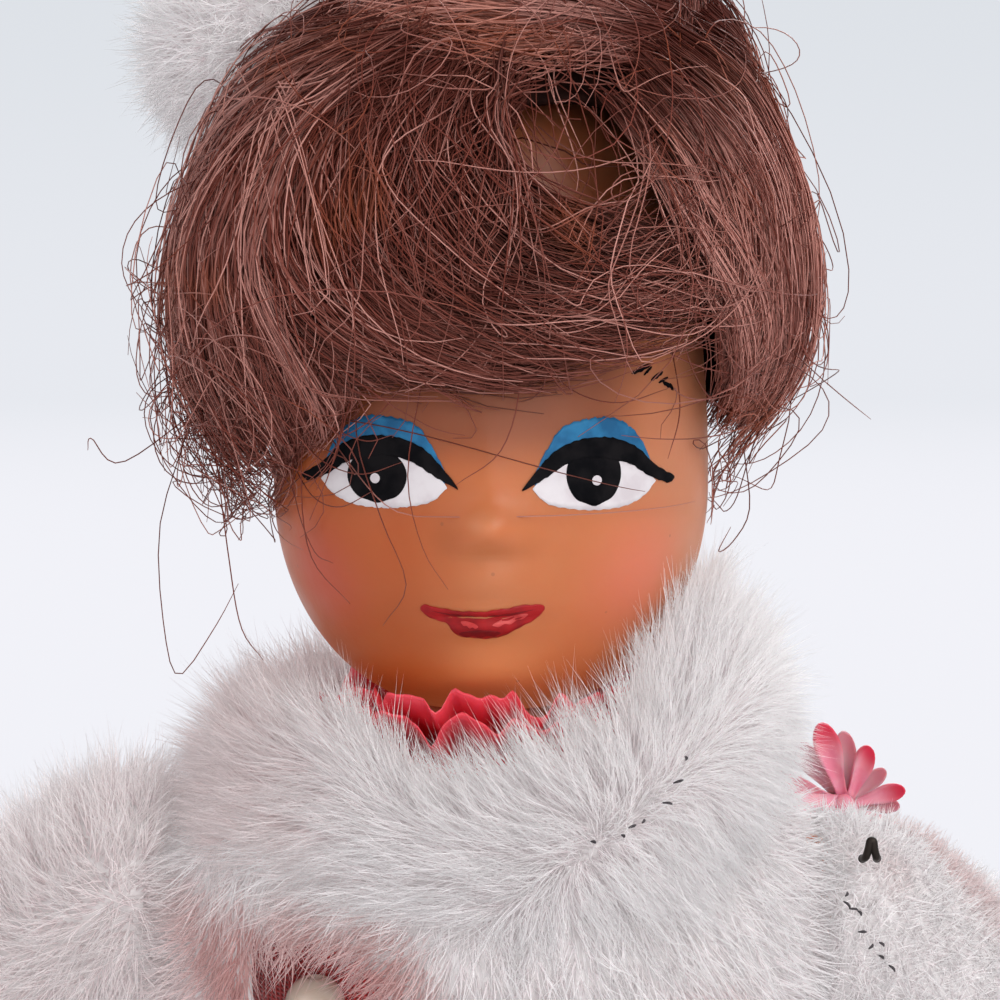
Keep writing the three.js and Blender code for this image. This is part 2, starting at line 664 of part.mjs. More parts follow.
// Arms with peg joints, and the fur sleeves that turn with them.
const armBallX = SHOULDER_HALF_WIDTH + TURN_FIT + ARM_BALL_RADIUS;
const armAlong = new THREE.Vector3(Math.cos(ARM_DROP), 0, -Math.sin(ARM_DROP));
function armLine(grow) {
  const shares = [0, 0.25, 0.55, 0.85, 1];
  const radii = [ARM_BALL_RADIUS * 0.96, ARM_BALL_RADIUS * 0.9, ARM_BALL_RADIUS * 0.8, WRIST_RADIUS * 1.15, WRIST_RADIUS];
  const start = new THREE.Vector3(armBallX, 0, shoulderZ);
  const points = shares.map((share) => start.clone().addScaledVector(armAlong, ARM_LENGTH * share));
  return tube(points, radii.map((radius) => radius + grow), 9);
}

function hand() {
  const wrist = new THREE.Vector3(armBallX, 0, shoulderZ).addScaledVector(armAlong, ARM_LENGTH - 0.6);
  const palm = new THREE.SphereGeometry(1, 10, 6);
  palm.scale(HAND_LENGTH / 2, HAND_LENGTH * 0.34, HAND_LENGTH * 0.22);
  palm.translate(HAND_LENGTH * 0.46, 0, 0);
  const thumb = new THREE.SphereGeometry(1, 8, 5);
  thumb.scale(HAND_LENGTH * 0.27, HAND_LENGTH * 0.11, HAND_LENGTH * 0.11);
  thumb.rotateZ(-0.7);
  thumb.translate(HAND_LENGTH * 0.36, -HAND_LENGTH * 0.33, 0);
  return [palm, thumb].map((geometry) => {
    geometry.rotateY(ARM_DROP);
    return geometry.translate(wrist.x, wrist.y, wrist.z);
  });
}

const pegTip = SHOULDER_HALF_WIDTH - BODY_WALL - FIT * 3 - 1.2;
const armSolid = joined([
  armLine(0),
  ellipsoid([armBallX, 0, shoulderZ], [ARM_BALL_RADIUS, ARM_BALL_RADIUS, ARM_BALL_RADIUS], 0, 10, 7),
  cylinderAlongX(ARM_PEG_RADIUS, pegTip, armBallX, shoulderZ, 10),
  cylinderAlongX(ARM_PEG_HEAD, pegTip - 1.2, pegTip, shoulderZ, 10),
  ...hand(),
]);
const sleeveEnd = new THREE.Vector3(armBallX, 0, shoulderZ).addScaledVector(armAlong, SLEEVE_LENGTH);
const sleeveBore = joined([
  armLine(FIT),
  ellipsoid(
    [armBallX, 0, shoulderZ],
    [ARM_BALL_RADIUS + FIT, ARM_BALL_RADIUS + FIT, ARM_BALL_RADIUS + FIT],
    0,
    10,
    7,
  ),
]);
const sleeveStart = new THREE.Vector3(armBallX, 0, shoulderZ);
const sleevePath = [0, 0.34, 0.68, 0.93, 1].map((share) => sleeveStart.clone().lerp(sleeveEnd, share));
const sleeveRadii = [0.94, 1.02, 1, 0.95, 0.8].map((share) => share * SLEEVE_RADIUS);
const sleeveSolid = joined([
  tube(sleevePath, sleeveRadii, 12),
  ellipsoid([armBallX, 0, shoulderZ], [SLEEVE_RADIUS, SLEEVE_RADIUS, SLEEVE_RADIUS], 0, 12, 8),
])
  .subtract(toSolid(box([-reach, -reach, -reach], [sleevePlane, reach, reach])))
  .subtract(sleeveBore);
add("left_arm", toGeometry(armSolid), "vinyl");
add("right_arm", toGeometry(armSolid.mirror([1, 0, 0])), "vinyl");
add("left_sleeve", toGeometry(sleeveSolid), "fur");
add("right_sleeve", toGeometry(sleeveSolid.mirror([1, 0, 0])), "fur");

// Pearl button on the dress, in the opening of the coat.
const buttonX = COAT_OPENING_X - COAT_OPENING_WIDTH / 5;
const buttonRise = CAPE_HEM_RISE + COAT_OPENING_HEIGHT * 0.45;
const [dressHalfWidth, dressHalfDepth] = torsoAt(buttonRise).map((half) => half + FIT + CLOTH);
const buttonY = -dressHalfDepth * Math.sqrt(1 - (buttonX / dressHalfWidth) ** 2) - BUTTON_RADIUS * 0.8;
const button = toSolid(
  ellipsoid([buttonX, buttonY, up(buttonRise)], [BUTTON_RADIUS, BUTTON_RADIUS, BUTTON_RADIUS], 0, 10, 7),
).subtract(toSolid(torso(FIT * 1.5 + CLOTH, bodiceLow, bodiceHigh)));
add("pearl_button", toGeometry(button), "pearl");

// Pink flower standing behind the left shoulder, its stalk sewn to the coat back.
const flowerX = CAPE_HALF_WIDTH + 2;
const flowerY = SLEEVE_RADIUS + 5.4;
const flowerZ = shoulderZ + 4;
const bloom = new THREE.ExtrudeGeometry(petalOutline(FLOWER_PETALS, 0, FLOWER_RADIUS, 0.42, 6), {
  depth: 0.9,
  bevelEnabled: false,
});
const bloomPoints = bloom.attributes.position;
for (let i = 0; i < bloomPoints.count; i += 1) {
  const radius = Math.hypot(bloomPoints.getX(i), bloomPoints.getY(i));
  bloomPoints.setZ(i, bloomPoints.getZ(i) + 0.03 * radius * radius);
}
bloom.rotateX(Math.PI / 2);
bloom.translate(flowerX, flowerY, flowerZ);
const stalkFoot = new THREE.Vector3(CAPE_HALF_WIDTH * 0.72, CAPE_HALF_DEPTH * 0.3, shoulderZ + 0.5);
const stalk = tube([new THREE.Vector3(flowerX, flowerY - 0.4, flowerZ), stalkFoot], [0.7, 0.7], 8);
const flower = joined([bloom, stalk]).subtract(toSolid(capeShape(FIT / 2))).subtract(toSolid(collarShape(FIT / 2)));
add("shoulder_flower", toGeometry(largest(flower)), "pink_plastic");

// Dark dress hook lying on the front of the left sleeve.
const hookCentre = new THREE.Vector3(armBallX + 2.9, 0, shoulderZ + 2.2);
const hookPath = [
  [1.1, 0.2, 0.4],
  [0.5, 0.1, 0.7],
  [-0.4, 0.1, 0.6],
  [-1, 0.1, 0.1],
  [-0.9, 0.1, -0.5],
  [-0.3, 0.1, -0.9],
  [0.4, 0.1, -1.3],
  [0.9, 0.2, -1.8],
].map(([x, lift, z]) => {
  const offAxis = (hookCentre.x - armBallX + x) * Math.sin(ARM_DROP) + (hookCentre.z - shoulderZ + z) * Math.cos(ARM_DROP);
  const skin = Math.sqrt(Math.max(SLEEVE_RADIUS ** 2 - offAxis ** 2, 1));
  return new THREE.Vector3(hookCentre.x + x, -skin - HOOK_WIRE / 2 - lift, hookCentre.z + z);
});
const hook = tube(hookPath, hookPath.map(() => HOOK_WIRE / 2), 7);
add("dress_hook", hook, "dark_steel");

export default object;
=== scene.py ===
"""Looks of a craft doll: painted vinyl head, nylon wig, fur coat and hat, red dress,
and a skirt of beaded safety pins. Sizes are written in millimetres and built in metres.
The doll faces -Y, and left and right are the doll's own, so left is +X."""

import math

import bmesh
import bpy
import numpy as np
from mathutils import Matrix, Vector


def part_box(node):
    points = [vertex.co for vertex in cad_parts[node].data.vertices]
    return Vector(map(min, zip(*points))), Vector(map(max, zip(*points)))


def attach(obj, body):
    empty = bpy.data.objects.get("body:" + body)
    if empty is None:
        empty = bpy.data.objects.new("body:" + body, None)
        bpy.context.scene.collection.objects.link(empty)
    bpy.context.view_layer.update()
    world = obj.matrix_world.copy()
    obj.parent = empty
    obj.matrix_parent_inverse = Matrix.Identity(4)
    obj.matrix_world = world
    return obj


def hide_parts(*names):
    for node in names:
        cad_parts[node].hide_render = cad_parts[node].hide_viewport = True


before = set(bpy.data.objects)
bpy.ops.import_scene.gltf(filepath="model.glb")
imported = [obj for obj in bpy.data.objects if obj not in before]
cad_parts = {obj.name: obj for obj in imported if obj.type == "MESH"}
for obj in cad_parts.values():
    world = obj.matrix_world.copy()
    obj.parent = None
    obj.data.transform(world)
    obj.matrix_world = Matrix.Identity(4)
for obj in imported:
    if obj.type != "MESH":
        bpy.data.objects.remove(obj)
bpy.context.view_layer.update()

MM = 0.001
TURN = 2 * math.pi

# Heights of the body, in millimetres
WAIST_Z = 67.72
MIDDLE_Z = 35.02
HEM_Z = 2.46
SHOULDER_Z = 85.22

# Head
HEAD_Z = 106.02
HEAD_HALF_WIDTH = 11.1
HEAD_HALF_DEPTH = 11.0
JAW_HEIGHT = 11.7
JAW_FULLNESS = 0.42
SKULL_HEIGHT = 20.0
NECK_HOLE = 4.0

# Coat
CAPE_HALF_WIDTH = 16.4
CAPE_HALF_DEPTH = 13.0
COLLAR_RADIUS = 5.4
SLEEVE_RADIUS = 7.0
SLEEVE_LENGTH = 24.0
ARM_BALL_X = 16.6
ARM_DROP = math.radians(44)
ARM_LENGTH = 31.0

# Skirt
PIN_LENGTH = 38.0
PIN_WIRE = 0.8
COIL_MEAN = 1.5
COIL_OUTER = 1.9
COIL_HALF_SPAN = 0.94
CAP_WIDTH = 6.6
CAP_HEIGHT = 7.0
CAP_THICKNESS = 2.2
CAP_HOLE = 1.1
RING_TO_RING = 33.7
RING_WIRE = 1.2
WAIST_RING = 13.1
MIDDLE_RING = 21.25
HEM_RING = 29.97

# Camera, in millimetres from the doll's middle plane
CAMERA_DISTANCE = 140.0
CAMERA_ELEVATION = math.radians(4)
CAMERA_AIM = (0.46, 0.0, 105.1)
FRAME_WIDTH = 51.28


# Shapes


def new_object(name, data):
    obj = bpy.data.objects.new(name, data)
    bpy.context.scene.collection.objects.link(obj)
    return obj


def mesh_object(name, points, faces):
    """A mesh object from points in millimetres, in the doll's frame."""
    mesh = bpy.data.meshes.new(name)
    mesh.from_pydata((np.asarray(points, dtype=float) * MM).tolist(), (), faces)
    mesh.update()
    mesh.shade_smooth()
    return new_object(name, mesh)


class Form:
    """Points and faces of one piece, gathered from its parts."""

    def __init__(self):
        self.points = []
        self.faces = []

    def add(self, points, faces):
        start = len(self.points)
        self.points.extend(np.asarray(points, dtype=float).reshape(-1, 3).tolist())
        self.faces.extend(tuple(index + start for index in face) for face in faces)
        return self

    def make(self, name, outward=False):
        obj = mesh_object(name, self.points, self.faces)
        if outward:
            turn_outward(obj)
        return obj


def turn_outward(obj, merge=0.0):
    """Faces of a closed shape turned outwards, its doubles merged first."""
    shape = bmesh.new()
    shape.from_mesh(obj.data)
    if merge:
        bmesh.ops.remove_doubles(shape, verts=shape.verts, dist=merge * MM)
    bmesh.ops.recalc_face_normals(shape, faces=shape.faces)
    if shape.calc_volume(signed=True) < 0:
        bmesh.ops.reverse_faces(shape, faces=shape.faces)
    shape.to_mesh(obj.data)
    shape.free()


def grid_faces(rows, columns, closed=True):
    faces = []
    last = columns if closed else columns - 1
    for row in range(rows - 1):
        for column in range(last):
            a = row * columns + column
            b = row * columns + (column + 1) % columns
            faces.append((a, b, b + columns, a + columns))
    return faces


def rim_pairs(rows, columns):
    """Neighbours round the rim of an open sheet of rows and columns."""
    rim = list(range(columns))
    rim += [row * columns + columns - 1 for row in range(1, rows)]
    rim += [rows * columns - 1 - column for column in range(1, columns)]
    rim += [row * columns for row in range(rows - 2, 0, -1)]
    return zip(rim, rim[1:] + rim[:1])


def oval(wide, deep, height, columns):
    """A level loop of points round the Z axis."""
    turn = np.arange(columns) / columns * TURN
    return np.column_stack([wide * np.cos(turn), deep * np.sin(turn), np.full(columns, height)])


def thicken(obj, thickness, offset=-1):
    wall = obj.modifiers.new("wall", "SOLIDIFY")
    wall.thickness = thickness * MM
    wall.offset = offset


def loft(loops, cap_low=True, cap_high=True):
    """Points and faces through closed loops of one length, lowest first."""
    loops = np.asarray(loops, dtype=float)
    rows, columns, _ = loops.shape
    faces = grid_faces(rows, columns)
    if cap_low:
        faces.append(tuple(reversed(range(columns))))
    if cap_high:
        faces.append(tuple(range((rows - 1) * columns, rows * columns)))
    return loops.reshape(-1, 3), faces


def smooth_step(low, high, value):
    share = np.clip((np.asarray(value, dtype=float) - low) / (high - low), 0, 1)
    return share * share * (3 - 2 * share)


def bell(x, z, middle_x, middle_z, wide, tall):
    return np.exp(-(((x - middle_x) / wide) ** 2) - ((z - middle_z) / tall) ** 2)


def smooth_line(points, count):
    """Points along a smooth curve through the given ones, evenly by number."""
    points = np.asarray(points, dtype=float)
    padded = np.vstack([2 * points[0] - points[1], points, 2 * points[-1] - points[-2]])
    place = np.linspace(0, len(points) - 1, count)
    index = np.minimum(place.astype(int), len(points) - 2)
    t = (place - index)[:, None]
    a, b, c, d = (padded[index + step] for step in range(4))
    curve = 2 * b + (c - a) * t + (2 * a - 5 * b + 4 * c - d) * t**2 + (3 * b - a - 3 * c + d) * t**3
    return curve / 2


def sweep(points, radii, sides, caps=True):
    """A round tube along points, with a frame that turns as little as it can."""
    points = np.asarray(points, dtype=float)
    radii = np.broadcast_to(np.asarray(radii, dtype=float), (len(points),))
    along = np.gradient(points, axis=0)
    along /= np.linalg.norm(along, axis=1)[:, None]
    side = np.cross(along[0], (0.31, 0.87, 0.38))
    side /= np.linalg.norm(side)
    loops = []
    angles = np.arange(sides) / sides * TURN
    for point, way, radius in zip(points, along, radii):
        side = side - way * side.dot(way)
        side /= np.linalg.norm(side)
        other = np.cross(way, side)
        ring = np.outer(np.cos(angles), side) + np.outer(np.sin(angles), other)
        loops.append(point + ring * radius)
    return loft(loops, caps, caps)


def ball(centre, radii, columns=24, rows=14):
    """An egg or ball of rings with a point at each pole."""
    loops = []
    for row in range(1, rows):
        angle = -math.pi / 2 + math.pi * row / rows
        turn = np.arange(columns) / columns * TURN
        ring = np.stack([np.cos(turn) * math.cos(angle), np.sin(turn) * math.cos(angle)], 1)
        loops.append(np.column_stack([ring, np.full(columns, math.sin(angle))]))
    points = np.concatenate([np.concatenate(loops), [[0, 0, -1], [0, 0, 1]]])
    faces = grid_faces(rows - 1, columns)
    low = len(points) - 2
    start = (rows - 2) * columns
    for column in range(columns):
        after = (column + 1) % columns
        faces.append((low, after, column))
        faces.append((low + 1, start + column, start + after))
    return points * np.asarray(radii, dtype=float) + np.asarray(centre, dtype=float), faces


def turned_profile(profile, columns=20):
    """A closed ring of revolution about Z from a closed profile of radius and height."""
    points = [oval(radius, radius, height, columns) for radius, height in profile]
    faces = []
    rows = len(profile)
    for row in range(rows):
        below = ((row + 1) % rows) * columns
        for column in range(columns):
            after = (column + 1) % columns
            faces.append((row * columns + column, row * columns + after, below + after, below + column))
    return np.concatenate(points), faces


def point_values(obj, name, values):
    """Stores one number or one vector for each point of a mesh."""
    values = np.asarray(values, dtype=np.float32)
    if values.ndim == 1:
        layer = obj.data.attributes.new(name, "FLOAT", "POINT")
        layer.data.foreach_set("value", values)
    else:
        layer = obj.data.attributes.new(name, "FLOAT_VECTOR", "POINT")
        layer.data.foreach_set("vector", values.ravel())


def point_normals(obj):
    normals = np.zeros(len(obj.data.vertices) * 3, dtype=np.float32)
    obj.data.vertices.foreach_get("normal", normals)
    return normals.reshape(-1, 3).astype(float)


def plain_mesh(obj):
    """Turns the evaluated shape into a plain mesh and drops the modifiers."""
    graph = bpy.context.evaluated_depsgraph_get()
    mesh = bpy.data.meshes.new_from_object(
        obj.evaluated_get(graph), preserve_all_data_layers=True, depsgraph=graph
    )
    obj.modifiers.clear()
    old = obj.data
    obj.data = mesh
    bpy.data.meshes.remove(old)
    mesh.name = obj.name
    return obj


def fused(obj, voxel, rounds):
    """One smooth skin over the joined parts of a moulded piece."""
    remesh = obj.modifiers.new("skin", "REMESH")
    remesh.mode = "VOXEL"
    remesh.voxel_size = voxel * MM
    remesh.use_smooth_shade = True
    ease = obj.modifiers.new("ease", "SMOOTH")
    ease.factor = 0.5
    ease.iterations = rounds
    plain_mesh(obj)
    obj.data.shade_smooth()
    return obj


# Node trees


def feed(tree, socket, value):
    if isinstance(value, bpy.types.NodeSocket):
        tree.links.new(value, socket)
    elif socket.type == "RGBA" and len(value) == 3:
        socket.default_value = (*value, 1)
    else:
        socket.default_value = value


def put(tree, kind, inputs=None, **settings):
    made = tree.nodes.new(kind)
    for name, value in settings.items():
        setattr(made, name, value)
    for name, value in (inputs or {}).items():
        feed(tree, made.inputs[name], value)
    return made


def sums(tree, operation, first, second=0.0, clamp=False):
    made = put(tree, "ShaderNodeMath", {0: first, 1: second}, operation=operation, use_clamp=clamp)
    return made.outputs[0]


def vectors(tree, operation, first, second=None, scale=None):
    made = put(tree, "ShaderNodeVectorMath", {0: first}, operation=operation)
    if second is not None:
        feed(tree, made.inputs[1], second)
    if scale is not None:
        feed(tree, made.inputs["Scale"], scale)
    return made.outputs["Value"] if operation in ("DISTANCE", "LENGTH") else made.outputs["Vector"]


def remap(tree, value, low, high, to_low=0.0, to_high=1.0, how="SMOOTHSTEP"):
    made = put(
        tree,
        "ShaderNodeMapRange",
        {"Value": value, "From Min": low, "From Max": high, "To Min": to_low, "To Max": to_high},
        interpolation_type=how,
    )
    return made.outputs["Result"]


def noise(tree, place, scale, detail=2.0):
    return put(tree, "ShaderNodeTexNoise", {"Vector": place, "Scale": scale, "Detail": detail}).outputs


def mixed(tree, share, low, high, how="MIX"):
    made = tree.nodes.new("ShaderNodeMix")
    made.data_type = "RGBA"
    made.blend_type = how
    feed(tree, made.inputs[0], share)
    feed(tree, made.inputs[6], low)
    feed(tree, made.inputs[7], high)
    return made.outputs[2]


def new_tree(name, kind, inputs, outputs):
    tree = bpy.data.node_groups.new(name, kind)
    for label, socket in inputs:
        tree.interface.new_socket(label, in_out="INPUT", socket_type=socket)
    for label, socket in outputs:
        tree.interface.new_socket(label, in_out="OUTPUT", socket_type=socket)
    start = tree.nodes.new("NodeGroupInput")
    end = tree.nodes.new("NodeGroupOutput")
    return tree, start.outputs, end.inputs


FLOAT = "NodeSocketFloat"
COLOUR = "NodeSocketColor"
VECTOR = "NodeSocketVector"
GEOMETRY = "NodeSocketGeometry"
INTEGER = "NodeSocketInt"
MATERIAL = "NodeSocketMaterial"


def mottle_group():
    """Two colours drifting into each other over the surface."""
    tree, given, out = new_tree(
        "mottle",
        "ShaderNodeTree",
        [("Place", VECTOR), ("Scale", FLOAT), ("Low", COLOUR), ("High", COLOUR)],
        [("Colour", COLOUR), ("Mask", FLOAT)],
    )
    mask = remap(tree, noise(tree, given["Place"], given["Scale"], 4.0)["Fac"], 0.34, 0.66)
    feed(tree, out["Colour"], mixed(tree, mask, given["Low"], given["High"]))
    feed(tree, out["Mask"], mask)
    return tree


def grain_group():
    """Fine unevenness of a moulded or painted skin: a height and a roughness."""
    tree, given, out = new_tree(
        "fine_grain",
        "ShaderNodeTree",
        [("Place", VECTOR), ("Scale", FLOAT), ("Smooth", FLOAT), ("Dull", FLOAT)],
        [("Roughness", FLOAT), ("Height", FLOAT)],
    )
    fine = noise(tree, given["Place"], given["Scale"], 3.0)
    slow = noise(tree, given["Place"], sums(tree, "MULTIPLY", given["Scale"], 0.12))
    pits = put(tree, "ShaderNodeTexVoronoi", {"Vector": given["Place"], "Scale": given["Scale"]})
    pitted = sums(tree, "MULTIPLY", pits.outputs["Distance"], 0.4)
    gloss = remap(tree, slow["Fac"], 0.3, 0.7, given["Smooth"], given["Dull"], "LINEAR")
    feed(tree, out["Roughness"], gloss)
    feed(tree, out["Height"], sums(tree, "ADD", fine["Fac"], pitted))
    return tree


def fibre_group():
    """Colour of a fibre from root to tip, each fibre a little lighter or darker."""
    tree, given, out = new_tree(
        "fibre_colour",
        "ShaderNodeTree",
        [("Along", FLOAT), ("Tint", FLOAT), ("Root", COLOUR), ("Middle", COLOUR), ("Tip", COLOUR)],
        [("Colour", COLOUR)],
    )
    low = mixed(tree, remap(tree, given["Along"], 0.0, 0.45), given["Root"], given["Middle"])
    high = mixed(tree, remap(tree, given["Along"], 0.4, 1.0), low, given["Tip"])
    bright = remap(tree, given["Tint"], 0.0, 1.0, 0.86, 1.1, "LINEAR")
    grey = put(tree, "ShaderNodeCombineXYZ", {axis: bright for axis in range(3)})
    feed(tree, out["Colour"], mixed(tree, 1.0, high, grey.outputs[0], "MULTIPLY"))
    return tree


MOTTLE = mottle_group()
GRAIN = grain_group()
FIBRE = fibre_group()


def new_material(name, **constants):
    material = bpy.data.materials.new(name)
    material.use_nodes = True
    tree = material.node_tree
    shader = tree.nodes["Principled BSDF"]
    for label, value in constants.items():
        feed(tree, shader.inputs[label.replace("_", " ")], value)
    place = put(tree, "ShaderNodeTexCoord").outputs["Object"]
    return material, tree, shader, place


def use_group(tree, group, **inputs):
    made = put(tree, "ShaderNodeGroup", node_tree=group)
    for label, value in inputs.items():
        feed(tree, made.inputs[label], value)
    return made.outputs


def bump(tree, shader, height, strength, depth):
    made = put(tree, "ShaderNodeBump", {"Strength": strength, "Distance": depth * MM, "Height": height})
    feed(tree, shader.inputs["Normal"], made.outputs["Normal"])


def plain_finish(tree, shader, place, colour, scale, gloss, relief):
    """Colour, patchy gloss and fine relief of a plain surface."""
    grain = use_group(tree, GRAIN, Place=place, Scale=scale, Smooth=gloss[0], Dull=gloss[1])
    feed(tree, shader.inputs["Base Color"], colour)
    feed(tree, shader.inputs["Roughness"], grain["Roughness"])
    bump(tree, shader, grain["Height"], *relief)


def spot(tree, place, centre, near, far):
    """One inside near of a point, fading to nothing at far, in millimetres."""
    away = vectors(tree, "DISTANCE", place, Vector(centre) * MM)
    return remap(tree, away, near * MM, far * MM, 1.0, 0.0)


def point_value(tree, name):
    return put(tree, "ShaderNodeAttribute", attribute_name=name, attribute_type="GEOMETRY")


def vinyl_material():
    """Warm soft vinyl, rosier at the cheeks and deeper in colour towards the jaw, with light and shade
    painted in: darker on the doll's right and lighter on its left, a painted shadow under the fringe,
    painted shade beside and under the nose, a painted highlight on the nose, a lightened chin and a
    painted glow low on the jaw.
    """
    material, tree, shader, place = new_material(
        "warm_vinyl", Subsurface_Weight=0.35, Subsurface_Scale=1.6 * MM, Specular_IOR_Level=0.3
    )
    shader.inputs["Subsurface Radius"].default_value = (1.0, 0.36, 0.2)
    base = use_group(
        tree, MOTTLE, Place=place, Scale=150.0, Low=(0.50, 0.150, 0.052), High=(0.53, 0.166, 0.060),
    )
    parts = put(tree, "ShaderNodeSeparateXYZ", {0: place}).outputs
    # Painted shade: the doll's right side, away from the lamp, is darkened
    right = remap(tree, parts["X"], -5.0 * MM, 1.0 * MM, 0.85, 0.0)
    colour = mixed(tree, right, base["Colour"], (0.385, 0.076, 0.014))
    # Painted light: the doll's left side, where the lamp falls, is lightened
    left = remap(tree, parts["X"], 4.0 * MM, 9.5 * MM, 0.0, 0.8)
    colour = mixed(tree, left, colour, (0.51, 0.195, 0.10))
    # Painted shadow of the fringe on the forehead, except at the doll's left temple
    under = remap(tree, parts["Z"], 106.6 * MM, 109.4 * MM, 0.0, 0.85)
    under = sums(tree, "MULTIPLY", under, remap(tree, parts["X"], 5.0 * MM, 8.5 * MM, 1.0, 0.0))
    colour = mixed(tree, under, colour, (0.22, 0.062, 0.026))
    for centre, reach, share, tone in (
        ((5.6, -9.0, 98.6), 5.4, 0.45, (0.55, 0.12, 0.038)),
        ((0.1, -12.0, 102.0), 2.6, 0.6, (0.48, 0.175, 0.075)),
        # Painted light: the chin lightened as if lit from below
        ((0.6, -10.0, 96.6), 4.4, 0.8, (0.66, 0.22, 0.082)),
        # Rosy cheek on the doll's right, darkened as painted shade away from the lamp
        ((-8.4, -6.6, 101.9), 4.4, 0.7, (0.46, 0.066, 0.034)),
        # Painted shade beside the nose on the doll's right
        ((-2.3, -11.4, 104.0), 1.3, 0.3, (0.34, 0.085, 0.018)),
        # Painted shade under the nose
        ((-0.4, -11.9, 102.9), 1.0, 0.2, (0.42, 0.12, 0.030)),
        # Painted shade beside the nose on the doll's left
        ((2.1, -11.4, 103.6), 1.2, 0.25, (0.44, 0.13, 0.035)),
        # Painted highlight on the bridge of the nose
        ((-0.4, -12.4, 105.0), 1.2, 0.4, (0.52, 0.225, 0.11)),
        # Rosy cheek on the doll's left, lightened as painted light where the lamp falls
        ((7.4, -8.0, 101.9), 4.8, 0.6, (0.64, 0.150, 0.090)),
    ):
        near = spot(tree, place, centre, 0.3, reach)
        colour = mixed(tree, sums(tree, "MULTIPLY", near, share), colour, tone)
    dust = put(tree, "ShaderNodeTexVoronoi", {"Vector": place, "Scale": 430.0})
    speck = remap(tree, dust.outputs["Distance"], 0.03, 0.05, 0.45, 0.0)
    colour = mixed(tree, speck, colour, (0.22, 0.085, 0.04))
    feed(tree, shader.inputs["Base Color"], colour)
    # Painted glow: the lower jaw gives back some of its own colour as light, as if lit from below
    jaw = remap(tree, parts["Z"], 94.5 * MM, 100.0 * MM, 1.0, 0.0)
    feed(tree, shader.inputs["Emission Color"], mixed(tree, jaw, (0.0, 0.0, 0.0), colour))
    shader.inputs["Emission Strength"].default_value = 0.3
    grain = use_group(tree, GRAIN, Place=place, Scale=2600.0, Smooth=0.36, Dull=0.5)
    feed(tree, shader.inputs["Roughness"], grain["Roughness"])
    bump(tree, shader, grain["Height"], 0.18, 0.05)
    return material


def paint_material(name, low, high, smooth, dull, shine=0.4):
    """Brushed-on enamel, a little uneven in colour and gloss."""
    material, tree, shader, place = new_material(name, Specular_IOR_Level=shine)
    base = use_group(tree, MOTTLE, Place=place, Scale=900.0, Low=low, High=high)
    plain_finish(tree, shader, place, base["Colour"], 1800.0, (smooth, dull), (0.25, 0.04))
    return material


# Painted glow of the pile, standing in for light scattered inside it, as a share of its own colour
FUR_GLOW = 0.16


def fur_material():
    """White pile that lets some light through, with a painted glow, tinted pink in places: stains on some
    parts and painted shade on others.
    """
    material, tree, shader, _ = new_material("white_fur", Specular_IOR_Level=0.2, Sheen_Weight=0.15)
    along = point_value(tree, "along").outputs["Fac"]
    tint = point_value(tree, "tint").outputs["Fac"]
    tones = {"Root": (0.86, 0.81, 0.82), "Middle": (0.95, 0.925, 0.93), "Tip": (0.965, 0.945, 0.95)}
    colour = use_group(tree, FIBRE, Along=along, Tint=tint, **tones)["Colour"]
    pink_share = point_value(tree, "stain_and_shade").outputs["Fac"]
    colour = mixed(tree, pink_share, colour, (0.66, 0.34, 0.32))
    feed(tree, shader.inputs["Base Color"], colour)
    feed(tree, shader.inputs["Roughness"], remap(tree, tint, 0.0, 1.0, 0.62, 0.8, "LINEAR"))
    feed(tree, shader.inputs["Emission Color"], colour)
    shader.inputs["Emission Strength"].default_value = FUR_GLOW
    through = put(tree, "ShaderNodeBsdfTranslucent", {"Color": colour})
    both = put(tree, "ShaderNodeMixShader", {0: 0.4, 1: shader.outputs[0], 2: through.outputs[0]})
    feed(tree, tree.nodes["Material Output"].inputs["Surface"], both.outputs[0])
    return material


def felt_material(name, low, high):
    """The knitted ground under the pile, matted with short fibres, with a faint painted glow."""
    material, tree, shader, place = new_material(name, Sheen_Weight=0.3, Specular_IOR_Level=0.2)
    base = use_group(tree, MOTTLE, Place=place, Scale=900.0, Low=low, High=high)
    feed(tree, shader.inputs["Emission Color"], base["Colour"])
    shader.inputs["Emission Strength"].default_value = FUR_GLOW / 2
    plain_finish(tree, shader, place, base["Colour"], 2600.0, (0.75, 0.95), (0.25, 0.08))
    return material


def hair_material():
    """Nylon strands from dark brown through chestnut to a dusty pink brown, with warm orange patches
    painted in as light shining through the strands.
    """
    material, tree, shader, place = new_material(
        "chestnut_nylon", Specular_IOR_Level=0.24, Specular_Tint=(1.0, 0.55, 0.46)
    )
    along = point_value(tree, "along").outputs["Fac"]
    tint = point_value(tree, "tint").outputs["Fac"]
    dark = mixed(tree, remap(tree, tint, 0.0, 0.4), (0.040, 0.007, 0.004), (0.165, 0.038, 0.026))
    light = mixed(tree, remap(tree, tint, 0.4, 1.0), dark, (0.58, 0.28, 0.235))
    # Painted light: warm orange patches where light would shine through the hair
    shine_through = remap(tree, noise(tree, place, 170.0, 1.0)["Fac"], 0.56, 0.72, 0.0, 0.3)
    light = mixed(tree, shine_through, light, (0.36, 0.085, 0.022))
    tip = mixed(tree, 0.15, light, (0.50, 0.22, 0.18))
    colour = use_group(
        tree, FIBRE, Along=along, Tint=0.58, Root=(0.09, 0.020, 0.014), Middle=light, Tip=tip,
    )
    feed(tree, shader.inputs["Base Color"], colour["Colour"])
    sheen = use_group(tree, GRAIN, Place=place, Scale=700.0, Smooth=0.3, Dull=0.44)
    feed(tree, shader.inputs["Roughness"], sheen["Roughness"])
    return material


